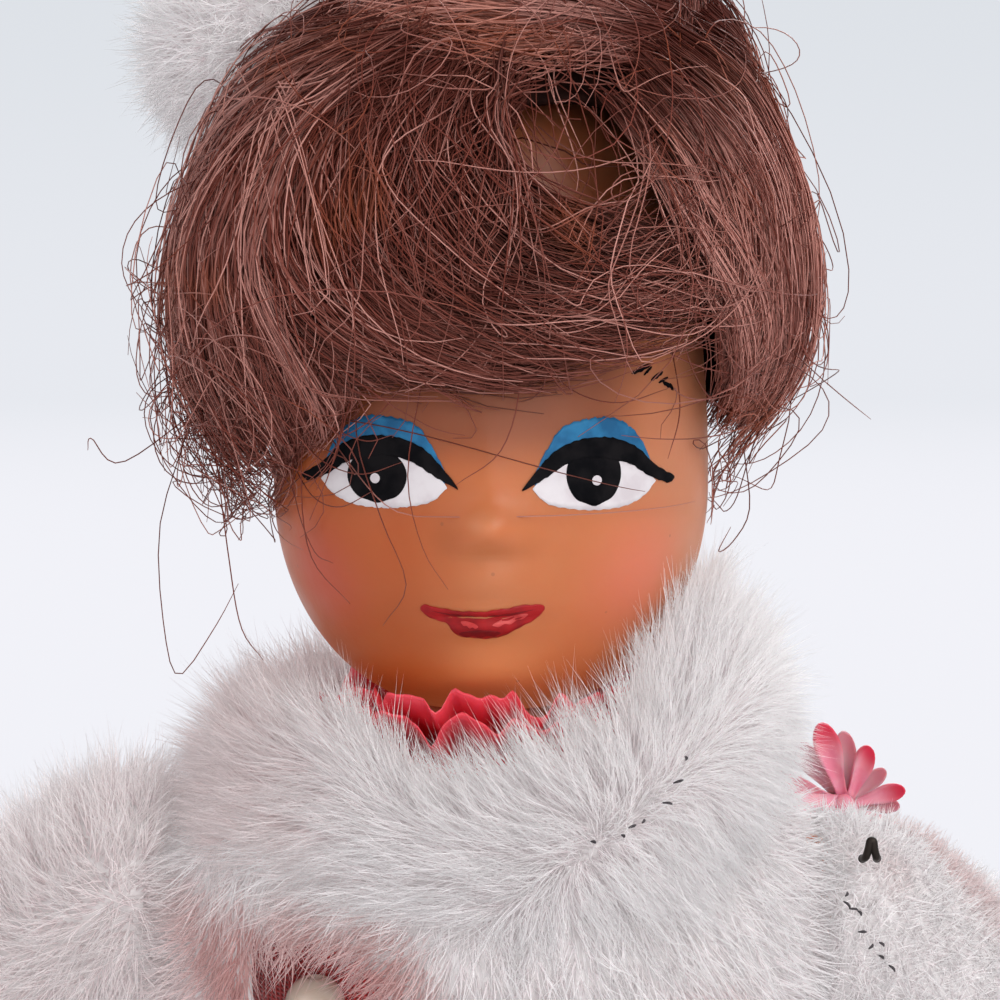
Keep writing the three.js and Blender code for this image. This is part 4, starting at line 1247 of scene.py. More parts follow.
def wig_place(longitude, latitude, reach):
    """A place on the wig, by degrees left of the face and above its middle."""
    lon = np.radians(longitude)
    lat = np.radians(latitude)
    rise = np.where(lat > 0, WIG_UP, WIG_DOWN) * np.sin(lat)
    right = np.interp(WIG_Z + rise, WIG_LINE[:, 0], WIG_LINE[:, 1])
    left = np.interp(WIG_Z + rise, WIG_LINE[:, 0], WIG_LINE[:, 2])
    x = (left + right) / 2 + (left - right) / 2 * np.sin(lon) * reach
    y = 1.5 - WIG_DEEP * np.cos(lat) * np.cos(lon) * reach
    z = WIG_Z + rise * reach
    return np.stack([x, y, z], -1)


def clear_of_head(lines, gap=0.2):
    """Moves points that fall inside the head out to its skin."""
    v = lines[..., 2] - HEAD_Z
    girth = np.maximum(head_girth(v), 1e-3)
    wide = (HEAD_HALF_WIDTH + gap) * girth
    deep = (HEAD_HALF_DEPTH + gap + 0.25) * girth
    share = np.sqrt((lines[..., 0] / wide) ** 2 + (lines[..., 1] / deep) ** 2)
    grow = np.where((share < 1) & (share > 0.05), 1 / np.maximum(share, 0.05), 1.0)
    lines[..., 0] *= grow
    lines[..., 1] *= grow
    return lines


# A bare place below the parting, by degrees
BARE_PLACE = (12.5, 19.0)
BARE_HALF = (13.5, 7.0)
BARE_LEAN = math.radians(-28)

# Lower edge of the fringe, by degrees to the left and degrees up
FRINGE_EDGE = [
    (-40, -60), (-26, -33), (-10, -27), (4, -29.5), (14, -28), (24, -22), (33, -17), (44, -9), (56, -42),
]


def locks(
    rng, guides, count, steps=14, spread=3.4, own=1.0, frizz=1.0, layers=(
        0.91, 1.03,
    ), crowd=34, bare=True,
):
    """Strands that follow guides, gathered into locks that wave together, one over another, the deeper
    locks tinted darker as painted shade.
    """
    whole = [[(*point, 1.0)[:3] for point in guide] for guide in guides]
    guides = np.stack([smooth_line(guide, steps) for guide in whole])
    lock_count = max(6, count // crowd)
    lock_place = rng.uniform(0, len(guides) - 1, lock_count)
    lock_shift = rng.normal(0, spread, (lock_count, 2))
    lock_level = rng.uniform(0, 1, lock_count)
    lock_layer = layers[0] + (layers[1] - layers[0]) * lock_level
    lock_bulge = rng.normal(0, 0.024, lock_count)
    # Painted shade: deeper locks get a darker tint and outer ones a lighter one, with a random spread
    lock_tint_and_shade = 0.02 + 0.58 * lock_level**1.6 * rng.uniform(0.1, 1.3, lock_count)
    lock_speed = rng.uniform(0.6, 1.8, lock_count)
    lock_phase = rng.uniform(0, TURN, lock_count)
    lock_size = frizz * rng.gamma(1.8, 0.5, lock_count)
    which = rng.integers(0, lock_count, count)
    wild = np.where(rng.random(count) < 0.14, 3.0, 1.0)
    place = np.clip(lock_place[which] + rng.normal(0, 0.06, count) * wild, 0, len(guides) - 1.001)
    low = np.minimum(place.astype(int), max(len(guides) - 2, 0))
    share = (place - low)[:, None, None]
    after = np.minimum(low + 1, len(guides) - 1)
    path = guides[low] * (1 - share) + guides[after] * share
    swell = path[..., 2]
    path = path[..., :2].copy()
    t = np.linspace(0, 1, steps)
    free = (0.3 + 0.7 * smooth_step(0, 0.6, t))[None, :, None]
    aside = rng.normal(0, own, (count, 1, 2)) * wild[:, None, None]
    ends = rng.normal(0, own * 1.5, (count, 1, 2)) * wild[:, None, None] * (t[None, :, None] ** 2)
    path = path + (aside + lock_shift[which][:, None, :]) * free + ends
    turn = (lock_speed[which] + rng.normal(0, 0.08, count) * wild)[:, None] * t * TURN
    turn = turn + (lock_phase[which] + rng.normal(0, 0.3, count) * wild)[:, None]
    size = (lock_size[which] * rng.uniform(0.7, 1.3, count) * wild**0.5)[:, None] * (0.2 + t)
    path[..., 0] += np.sin(turn) * size
    path[..., 1] += np.cos(turn * 1.13) * size * 0.8
    low_edge = np.interp(path[..., 0], *np.array(FRINGE_EDGE).T) + rng.normal(0, 1.5, (count, 1))
    soft = np.where(rng.random((count, 1)) < 0.08, 0.9, 0.25)
    path[..., 1] = np.maximum(path[..., 1], low_edge + (path[..., 1] - low_edge) * soft)
    if bare:
        cos = math.cos(BARE_LEAN)
        sin = math.sin(BARE_LEAN)
        lean = np.array([[cos, -sin], [sin, cos]])
        aside = (path - np.array(BARE_PLACE)) @ lean / np.array(BARE_HALF)
        near = np.linalg.norm(aside, axis=2)
        edge = rng.uniform(0.8, 1.2, (count, 1))
        push = np.where(near < edge, edge / np.maximum(near, 0.2), 1.0)
        path = np.array(BARE_PLACE) + (aside * push[..., None] * np.array(BARE_HALF)) @ lean.T
        kept = (near.min(1) > 0.62) | (rng.random(count) < 0.03)
    bulge = np.sin(t * math.pi) * (lock_bulge[which] + rng.normal(0, 0.006, count))[:, None]
    reach = lock_layer[which][:, None] + rng.normal(0, 0.008, (count, 1)) + bulge
    lines = wig_place(path[..., 0], path[..., 1], reach * swell)
    tint = np.clip(lock_tint_and_shade[which] + rng.gamma(0.8, 0.13, count) - 0.04, 0, 1)
    if bare:
        return clear_of_head(lines[kept]), tint[kept]
    return clear_of_head(lines), tint


def trimmed(rng, lines, shortest):
    """Cuts each strand back by its own amount and spaces its points again."""
    count, steps, _ = lines.shape
    end = rng.uniform(shortest, 1.0, count)
    place = np.linspace(0, 1, steps)[None, :] * end[:, None] * (steps - 1)
    index = np.minimum(place.astype(int), steps - 2)
    share = (place - index)[..., None]
    rows = np.arange(count)[:, None]
    return lines[rows, index] * (1 - share) + lines[rows, index + 1] * share


def line_object(name, bundles, radius):
    """A mesh of lines with a width, a tint and a share along for each point."""
    points = []
    edges = []
    widths = []
    tints = []
    alongs = []
    start = 0
    for lines, tint in bundles:
        count, steps, _ = lines.shape
        t = np.linspace(0, 1, steps)
        first = start + (np.arange(count)[:, None] * steps + np.arange(steps - 1)).ravel()
        points.append(lines.reshape(-1, 3))
        edges.append(np.stack([first, first + 1], 1))
        widths.append(np.tile(radius * (1 - 0.55 * t**5), count))
        tints.append(np.repeat(tint, steps))
        alongs.append(np.tile(t, count))
        start += count * steps
    points = np.concatenate(points)
    edges = np.concatenate(edges).astype(np.int32)
    mesh = bpy.data.meshes.new(name)
    mesh.vertices.add(len(points))
    mesh.vertices.foreach_set("co", (points * MM).astype(np.float32).ravel())
    mesh.edges.add(len(edges))
    mesh.edges.foreach_set("vertices", edges.ravel())
    mesh.update()
    obj = new_object(name, mesh)
    point_values(obj, "width", np.concatenate(widths) * MM)
    point_values(obj, "tint", np.concatenate(tints))
    point_values(obj, "along", np.concatenate(alongs))
    return obj


def strands(name, bundles, stands_for, radius=0.046):
    obj = line_object(name, bundles, radius)
    run_tree(obj, STRANDS, {"Sides": 3, "Material": HAIR})
    return finished(obj, HAIR, "head", stands_for)


# Guides by degrees to the left, degrees up, and how far the wig swells there.
FRINGE = [
    [(-24, 35), (-38, 28), (-48, 18), (-49, 6), (-44, -5), (-38, -15), (-30, -22), (-19, -24)],
    [(-18, 34), (-28, 27), (-34, 17), (-33, 6), (-27, -5), (-19, -15), (-8, -22), (4, -26), (16, -24)],
    [(-10, 33), (-19, 26), (-23, 16), (-22, 6), (-16, -4), (-7, -13), (5, -19), (18, -20), (31, -13)],
    [
        (-4, 32, 0.97), (-10, 25, 0.98), (-13, 16), (-11, 7), (-4, -1), (6, -8), (17, -12), (28, -11),
        (39, -6),
    ],
    [
        (2, 31, 0.92), (-4, 25, 0.93), (-5, 18, 0.94), (0, 11, 0.95), (8, 4, 0.97), (17, -2), (27, -4),
        (36, -2), (46, 4),
    ],
    [
        (6, 31, 0.9), (2, 26, 0.89), (2, 20, 0.89), (7, 14, 0.9), (15, 9, 0.92), (23, 6, 0.94),
        (32, 6, 0.96), (41, 10),
    ],
]
FALLING = [
    [(-30, 33), (-31, 14), (-26, -8), (-30, -30)],
    [(-12, 35), (-16, 14), (-14, -8), (-19, -30)],
    [(2, 33), (-2, 14), (-6, -8), (-5, -30)],
    [(20, 30), (12, 10), (8, -10), (10, -28)],
]
RISING = [
    [(-8, -14), (8, -17), (24, -14), (38, -4)],
    [(2, -4), (16, -8), (31, -4), (46, 8)],
    [(8, 6), (22, 0), (36, 6), (50, 20)],
]
RIGHT_SIDE = [
    [(-60, 52), (-84, 40), (-104, 16), (-108, -8), (-106, -30), (-100, -50)],
    [(-26, 36), (-48, 32), (-76, 24), (-84, 10), (-84, -4), (-84, -22), (-80, -44), (-68, -60)],
    [(-23, 36), (-41, 31), (-56, 22), (-64, 10), (-61, -4), (-59, -22), (-55, -42), (-51, -58)],
    [(-20, 35), (-34, 30), (-46, 20), (-48, 8), (-46, -5), (-43, -22), (-41, -40), (-41, -57)],
    [(-18, 34), (-30, 28), (-38, 18), (-38, 6), (-36, -6), (-32, -20), (-30, -35), (-35, -50)],
]
LEFT_SIDE = [
    [(66, 52), (90, 38), (102, 14), (104, -8), (102, -28), (96, -46)],
    [(48, 44), (76, 33), (86, 16), (86, 0), (84, -20), (80, -40)],
    [(36, 37), (54, 26), (63, 14), (62, 0), (60, -20), (64, -38)],
    [(31, 32), (42, 22), (48, 10), (51, -2), (55, -19), (62, -36)],
    [(25, 29, 0.95), (31, 20, 0.96), (37, 9, 0.98), (43, -2), (49, -18), (57, -31)],
]
PARTING = [
    [(16, 40), (14, 32), (15, 22), (19, 12), (24, 2)],
    [(2, 40), (5, 31), (9, 22), (15, 13), (22, 8)],
]
TOP = [
    [(32, 37), (10, 42), (-10, 43), (-28, 41), (-46, 36)],
    [(35, 41), (11, 46), (-12, 47), (-34, 45), (-54, 38)],
    [(39, 46), (11, 51), (-16, 52), (-43, 49), (-72, 41)],
    [(46, 49), (14, 57), (-24, 61), (-70, 57), (-100, 46)],
]


def meridians(first, last, count, top, low):
    guides = []
    for lon in np.linspace(first, last, count):
        guides.append([(lon, top), (lon * 1.02, 52), (lon, 25), (lon, -5), (lon, low + 12), (lon, low)])
    return guides


def wig():
    rng = np.random.default_rng(71)
    # The last value shifts each bundle's tint as painted light and shade: lightest on the doll's left,
    # where the lamp falls, darker on the fringe
    for name, guides, count, steps, frizz, lighter in (
        ("fringe", FRINGE, 2150, 14, 2.3, -0.12),
        ("right", RIGHT_SIDE, 2000, 14, 3.6, 0.27),
        ("left", LEFT_SIDE, 1750, 14, 2.8, 0.6),
        ("back", meridians(92, 268, 10, 70, -52), 1400, 10, 3.4, 0.26),
    ):
        loose, crowd = (6.5, 9) if name == "back" else (3.4, 34)
        lines, tint = locks(rng, guides, count, steps, loose, loose / 3.4, frizz, crowd=crowd)
        behind = smooth_step(-6.0, 9.0, lines[:, steps // 2, 1])
        tint = tint + lighter * (1 - behind) + 0.26 * behind
        strands(f"hair_{name}_strands", [(trimmed(rng, lines, 0.74), tint)], [f"hair_{name}"])
    crown = []
    for guides, count, frizz in (
        (TOP, 780, 3.2),
        (
            [[(170, 62), (40, 84), (-20, 68), (-40, 50)], [(200, 60), (260, 82), (310, 64), (318, 46)]],
            330, 3.2,
        ),
        (
            [[(150, 58), (60, 74), (40, 60), (36, 44)], [(120, 52), (80, 58), (60, 48), (50, 36)]], 330,
            3.2,
        ),
    ):
        lines, tint = locks(rng, guides, count, frizz=frizz, spread=2.4, layers=(0.94, 1.02))
        crown.append((trimmed(rng, lines, 0.6), tint * 1.3 + 0.28))
    strands("hair_crown_strands", crown, ["hair_crown"])
    crossing = []
    # The last value lifts the tint of the crossing strands as painted light on the outermost hairs
    for guides, count, frizz, spread, layers, lighter in (
        (FRINGE[:5], 330, 5.0, 9.0, (0.99, 1.04), 0.16),
        (FALLING, 170, 7.0, 9.0, (1.0, 1.05), 0.24),
        (RISING, 90, 5.0, 7.0, (1.0, 1.06), 0.4),
        (RIGHT_SIDE, 420, 7.0, 10.0, (0.98, 1.06), 0.3),
        (LEFT_SIDE, 340, 6.0, 8.0, (0.98, 1.05), 0.4),
        (TOP[:3], 190, 9.0, 8.0, (0.98, 1.035), 0.4),
        (PARTING, 10, 3.0, 3.0, (0.95, 1.0), 0.3),
    ):
        lines, tint = locks(rng, guides, count, 16, spread, 1.6, frizz, layers, 2, count > 10)
        crossing.append((trimmed(rng, lines, 0.5), np.clip(tint + lighter, 0, 1)))
    strands("hair_crossing_strands", crossing, [], 0.042)


def loose_strands():
    """Single hairs that stand off the wig."""
    rng = np.random.default_rng(23)
    steps = 17
    t = np.linspace(0, 1, steps)
    made = []
    for count, lon_range, lat_range, rise in (
        (170, (-104, -60), (-46, 26), 0.12),
        (160, (58, 105), (-42, 50), 0.08),
        (130, (-60, 60), (20, 78), 0.08),
        (34, (110, 250), (-30, 60), 0.08),
        (100, (-84, -40), (-54, -20), 0.11),
    ):
        lon = rng.uniform(*lon_range, (count, 1))
        lat = rng.uniform(*lat_range, (count, 1))
        swing = rng.normal(0, 26, (count, 1))
        drop = rng.normal(-22, 26, (count, 1))
        curl = rng.uniform(4, 12, (count, 1))
        phase = rng.uniform(0, TURN, (count, 1))
        speed = rng.uniform(0.5, 1.3, (count, 1)) * TURN
        longitude = lon + swing * t + curl * np.sin(speed * t + phase)
        latitude = lat + drop * t + curl * np.cos(speed * t + phase)
        loop = rng.random((count, 1)) < 0.55
        height = np.minimum(rng.gamma(2.2, rise / 2.2, (count, 1)), 0.2)
        reach = 1.0 + height * np.where(loop, np.sin(t * math.pi), t**1.3)
        lines = wig_place(longitude, np.clip(latitude, -75, 86), reach)
        made.append((clear_of_head(lines, 0.3), rng.uniform(0.2, 0.8, count)))
    singles = [
        [
            (-15.2, -4, 108.5), (-16.4, -5, 104), (-16.2, -5, 99), (-15.6, -4, 96.6), (-13.8, -4, 99),
            (-12.6, -4, 101.2),
        ],
        [(-14.5, -2, 110), (-18.5, -3, 107.2), (-20.0, -3, 108.4), (-20.2, -3, 107.8)],
        [(13.2, -4, 114.5), (15.8, -4, 112), (17.4, -4, 110.6), (18.9, -4, 109.4)],
        [(12.5, -5, 108), (12.8, -5, 105), (12.0, -5, 103.4), (11.2, -6, 103.0), (11.8, -6, 104.2)],
        [(-13.5, -6, 108), (-12.8, -7, 103), (-12.2, -7, 99.4), (-11.2, -6, 97.6)],
    ]
    kept = np.stack([smooth_line(single, steps) for single in singles])
    made.append((kept, np.full(len(singles), 0.3)))
    over_face = [
        [(-2.2, 10.0), (-3.2, 5.5), (-3.9, 1.0), (-3.2, -2.4), (-2.0, -4.4)],
        [(-6.0, 8.0), (-6.4, 3.0), (-5.2, -1.0), (-4.0, -4.2), (-5.2, -6.4)],
        [(-8.6, 6.0), (-9.2, 1.5), (-8.8, -3.0), (-6.8, -5.4)],
        [(0.6, 10.5), (1.4, 6.0), (0.6, 2.4), (-1.6, 0.6)],
        [(-9.6, 4.0), (-9.6, 0.0), (-8.6, -2.8), (-7.6, -3.4)],
        [(8.8, 7.0), (9.2, 4.0), (8.6, 1.6)],
        [(-9.4, 5.4), (-7.8, 3.4), (-6.0, 2.6), (-4.6, 2.9)],
        [(-9.6, 3.0), (-8.2, 1.6), (-6.2, 1.0), (-4.2, 1.6)],
        [(-9.8, 1.4), (-8.6, -0.2), (-7.2, -0.6), (-5.6, 0.2)],
        [(-5.0, 7.0), (-6.6, 4.6), (-7.4, 2.0), (-8.8, 0.2)],
        [(-3.4, 6.6), (-4.8, 4.4), (-6.6, 3.0), (-8.6, 2.4)],
        [(-7.6, 6.8), (-7.0, 4.2), (-7.6, 1.4), (-8.8, -1.4)],
        [(2.0, 7.4), (3.6, 5.2), (6.0, 4.4), (8.6, 5.0)],
    ]
    lines = []
    for path in over_face:
        curve = smooth_line(path, steps)
        depth = face_y(curve[:, 0], curve[:, 1]) - 0.5 - 0.5 * np.sin(np.linspace(0, 3, steps))
        lines.append(np.column_stack([curve[:, 0], depth, HEAD_Z + curve[:, 1]]))
    made.append((np.stack(lines), np.full(len(lines), 0.42)))
    strands("hair_loose_strands", made, [], 0.036)


def shade_cap():
    """A cap under the strands, painted near black as the shade that shows in the gaps between them."""
    rows = 40
    columns = 72
    longitude = np.arange(columns) / columns * 360
    front = np.cos(np.radians(longitude))
    edge = np.where(front > 0.2, 33 * np.clip((front - 0.2) / 0.5, 0, 1), -40)
    latitude = edge + (88 - edge) * np.linspace(0, 1, rows)[:, None]
    reach = 0.86 + 0.012 * np.sin(longitude * 0.3 + latitude)
    points = wig_place(longitude + 0 * latitude, latitude, reach).reshape(-1, 3)
    faces = grid_faces(rows, columns)
    faces.append(tuple(range((rows - 1) * columns, rows * columns)))
    cap = mesh_object("shade_cap", points, faces)
    turn_outward(cap, 0.02)
    thicken(cap, 0.4)
    finished(cap, SHADE_CAP_PAINT, "head")


shade_cap()
wig()
loose_strands()


# Fur coat and hat


def unit(values):
    return values / np.maximum(np.linalg.norm(values, axis=-1), 1e-9)[..., None]


def fur(
    name, skin, body, stands_for, seed, density, pile, width=0.04, bend=18.0, tuft=1.7, joints=2,
    pull=0.85,
):
    """Grows the pile on a skin and keeps the skin under it as the backing."""
    grown = skin.copy()
    grown.data = skin.data.copy()
    grown.name = name
    bpy.context.scene.collection.objects.link(grown)
    values = {"Density": density * 1e6, "Pile": pile * MM, "Width": width * MM, "Bend": bend}
    values.update({"Tuft Size": tuft * MM, "Tuft Pull": pull, "Stray": 0.22})
    values.update({"Joints": joints, "Seed": seed, "Material": FUR})
    run_tree(grown, FUR_PILE, values)
    finished(grown, FUR, body, stands_for)
    return grown


def combed(skin, comb, pile, thick, stain_and_shade):
    point_values(skin, "comb", unit(comb))
    point_values(skin, "pile", pile)
    point_values(skin, "thick", thick)
    point_values(skin, "stain_and_shade", stain_and_shade)
    return skin


# The skin lies inside the solid collar by about the length of the pile.
COLLAR_SKIN = 0.54


def collar_place(angle, turn):
    """The collar roll of the solids: low in front, high behind the left cheek."""
    front = np.cos(angle)
    left = np.sin(angle)
    thick = COLLAR_RADIUS * (1 + 0.12 * np.maximum(front, 0))
    dip = 2.8 * np.exp(-(((angle - 0.27) / 0.62) ** 4)) + 1.5 * np.exp(-(((angle + 0.29) / 0.25) ** 2))
    dip = dip + np.maximum(-left, 0)
    rise = 17.5 + 5.6 - dip + np.maximum(left, 0) ** 2 * 5 + np.maximum(-front, 0) * 2
    out = thick * np.where(np.cos(turn) > 0, COLLAR_SKIN, 1.0) * np.cos(turn)
    x = left * (CAPE_HALF_WIDTH - COLLAR_RADIUS + out)
    y = -front * (CAPE_HALF_DEPTH - 3.6 + out)
    z = WAIST_Z + rise + COLLAR_RADIUS * 0.78 * np.sin(turn)
    slope = np.minimum(x + 0.45 * np.maximum(left, 0) ** 2 * (95.3 - z), 16.4)
    return np.stack(np.broadcast_arrays(slope, y, z), -1)


def clear_of_sweep(points):
    """Keeps the collar out of the room that the head and the ruffle take."""
    v = points[..., 2] - HEAD_Z
    girth = np.where(v < 0, np.clip(1 - (v / (JAW_HEIGHT + 0.5)) ** 2, 0, 1) ** 0.5, 1.0)
    room = np.maximum(13.0 * girth, np.where(points[..., 2] > 90.6, 9.3, 0))
    away = np.maximum(np.hypot(points[..., 0], points[..., 1]), 1e-6)
    grow = np.where(away < room, room / away, 1.0)
    points[..., 0] *= grow
    points[..., 1] *= grow
    return points


# A point on the slanting seam in the front of the collar, and the way across it
SEAM_X = 1.4
SEAM_Z = 86.5
SEAM_ACROSS = (-0.603, 0.798)


def above_seam(x, z):
    return (z - SEAM_Z) * SEAM_ACROSS[1] + (x - SEAM_X) * SEAM_ACROSS[0]


def collar_flow(points):
    """The way that the collar's fur was brushed: away from the slanting seam in front."""
    x = points[:, 0]
    z = points[:, 2]
    above = smooth_step(-1.2, 1.2, above_seam(x, z))[:, None]
    right = smooth_step(0.0, -10.0, x)[:, None]
    left = smooth_step(3.0, 9.0, x)[:, None]
    low = smooth_step(86.5, 83.0, z)[:, None]
    sideways = np.array([-0.95, 0, 0.12])
    far_right = np.array([-0.9, 0, 0.22])
    low_right = np.array([-0.6, 0, -0.62])
    upward = np.array([0.22, 0, 0.85])
    downward = np.stack([0.08 + 0.045 * np.maximum(x, 0), 0 * x, np.full_like(x, -0.85)], 1)
    upper = sideways * (1 - right) + far_right * right
    upper = upper * (1 - low) + low_right * low
    upper = upper * (1 - left) + upward * left
    flow = upper * above + downward * (1 - above)
    behind = smooth_step(0.0, 6.0, points[:, 1])[:, None]
    down = np.stack([x * 0.02, np.zeros_like(x), np.full_like(x, -0.8)], 1)
    return flow * (1 - behind) + down * behind


def collar_part(name, first, last, seed, density, stands_for):
    rows = 60
    columns = 44
    angle = np.linspace(first, last, rows)[:, None]
    turn = (np.arange(columns) / columns * TURN)[None, :]
    points = clear_of_sweep(collar_place(angle, turn))
    flat = points.reshape(-1, 3)
    faces = [tuple(reversed(face)) for face in grid_faces(rows, columns)]
    faces.append(tuple(range(columns)))
    faces.append(tuple(reversed(range((rows - 1) * columns, rows * columns))))
    skin = mesh_object(name + "_roll", flat, faces)
    turn_outward(skin)
    normal = point_normals(skin)
    x = flat[:, 0]
    z = flat[:, 2]
    front = smooth_step(0.0, -4.0, flat[:, 1])
    out = np.tile(np.cos(turn), (rows, 1)).ravel()
    up = np.tile(np.sin(turn), (rows, 1)).ravel()
    inner = smooth_step(0.1, -0.55, out)
    below = smooth_step(-0.45, -0.9, up)
    brim = smooth_step(0.5, 0.95, up)[:, None]
    seam = np.exp(-((above_seam(x, z) / 1.6) ** 2)) * front * smooth_step(-1.0, 3.0, x)
    comb = normal * (0.45 + 0.2 * seam[:, None]) + collar_flow(flat) * (1 - 0.3 * seam[:, None])
    comb = comb + np.array([0, 0, 1.0]) * brim
    comb = comb * (1 - inner[:, None]) + (normal * 0.3 + np.array([0, 0, 0.9])) * inner[:, None]
    opening = front * np.exp(-(((x + 8.6) / 4.2) ** 2)) * smooth_step(88.0, 85.0, z)
    dip = 1 - np.exp(-(((x + 3.0) / 3.8) ** 2))
    pile = 1 - 0.68 * inner - 0.1 * seam + 0.25 * opening + 0.4 * brim[:, 0] * front * dip
    # Pink tint in bands low on the front and in a patch low in front by the opening
    stain_and_shade = 0.5 * smooth_step(86.0, 82.0, z) * smooth_step(-0.4, 0.6, np.sin(x * 0.55) + 0.3) * front
    # Painted shade: the collar is tinted darker over the doll's right side, away from the lamp
    stain_and_shade = stain_and_shade + 0.2 * smooth_step(-4.0, -12.0, x)
    stain_and_shade = stain_and_shade + 0.55 * bell(x, 0, -7.0, 0, 6.0, 1.0) * smooth_step(86.5, 83.5, z) * front
    combed(skin, comb, pile, 1 - 0.5 * inner - 0.3 * below + 0.4 * seam, stain_and_shade)
    fur(name, skin, "body", stands_for, seed, density, 3.8, 0.036)
    fur(name.replace("_fur", "_down"), skin, "body", [], seed + 10, density * 2, 2.9, 0.036, joints=1)
    finished(skin, FUR_BACKING, "body")
    return skin


def collar():
    collar_part("collar_front_fur", math.radians(-104), math.radians(104), 3, 15, ["coat_collar"])
    collar_part("collar_back_fur", math.radians(104), math.radians(256), 4, 9.5, [])


CAPE_LEVELS = [
    (10, 0.94, 0.94), (13.5, 1.06, 1.02), (18.5, 1.04, 0.95), (22, 0.86, 0.8), (24.4, 0.66, 0.70),
]


# The hem of the coat above the waist, and the leaning line of its front opening
CAPE_HEM = 10
OPENING_X = -6.0
OPENING_LEAN = 0.45


def off_opening(x, height):
    return x - OPENING_X + OPENING_LEAN * height


def cape():
    """The coat body: a bell over the shoulders, open in front over the dress."""
    rows = 44
    columns = 180
    levels = smooth_line(CAPE_LEVELS, rows)
    turn = np.arange(columns) / columns * TURN
    lines = []
    for rise, wide, deep in levels:
        x = np.clip(CAPE_HALF_WIDTH * wide * np.cos(turn), -16.6, 16.6)
        y = CAPE_HALF_DEPTH * deep * np.sin(turn)
        fold = 1 + 0.014 * np.sin(turn * 9 + rise * 0.2) * smooth_step(18, 10, rise)
        lines.append(np.column_stack([x, y * fold, np.full(columns, WAIST_Z + rise)]))
    points = np.concatenate(lines)
    faces = []
    for face in grid_faces(rows, columns):
        middle = points[list(face)].mean(0)
        height = middle[2] - WAIST_Z - CAPE_HEM
        half = 5.4 - 3.4 * np.clip((height + 1) / 10, 0, 1)
        if middle[1] < 0 and height < 7 and abs(off_opening(middle[0], height)) < half:
            continue
        faces.append(face)
    skin = mesh_object("coat_body_cloth", points, faces)
    turn_outward(skin)
    normal = point_normals(skin)
    normal[:, 2] *= 0.5
    outward = np.column_stack([points[:, 0], points[:, 1], np.zeros(len(points))])
    normal = np.where((normal * outward).sum(1)[:, None] < 0, -normal, normal)
    x = points[:, 0]
    comb = normal * 0.5 + np.column_stack([x * 0.03, np.zeros(len(x)), np.full(len(x), -0.75)])
    shoulder = smooth_step(13.0, 16.0, np.abs(x))[:, None]
    comb = comb + shoulder * np.column_stack([np.sign(x) * 0.7, np.zeros(len(x)), np.full(len(x), 0.3)])
    height = points[:, 2] - WAIST_Z - CAPE_HEM
    gap = off_opening(x, height)
    lip = smooth_step(7.5, 4.0, np.abs(gap)) * (points[:, 1] < 0)
    comb = comb - np.column_stack([np.sign(gap) * lip * 0.55, np.zeros(len(x)), np.zeros(len(x))])
    edge = smooth_step(0.0, 3.0, height)
    near_sleeve = smooth_step(16.2, 16.6, np.abs(x))
    stain_and_shade = 0.55 * smooth_step(84, 78, points[:, 2]) * smooth_step(-0.5, 0.7, np.sin(x * 0.7 + 0.6))
    stain_and_shade = np.clip(stain_and_shade + 0.8 * lip * smooth_step(88, 84, points[:, 2]), 0, 0.9)
    combed(skin, comb, (0.6 + 0.4 * edge) * (1 + 0.1 * near_sleeve), 1 + 0.8 * lip, stain_and_shade)
    fur("coat_body_fur", skin, "body", [], 5, 6.2, 3.4, 0.05)
    fur("coat_body_down", skin, "body", [], 15, 7, 2.4, 0.05, joints=1)
    thicken(skin, 0.35)
    finished(skin, FUR_BACKING, "body", ["coat_body"])


# Where the sleeves start, just outside the coat
SLEEVE_START = 16.8


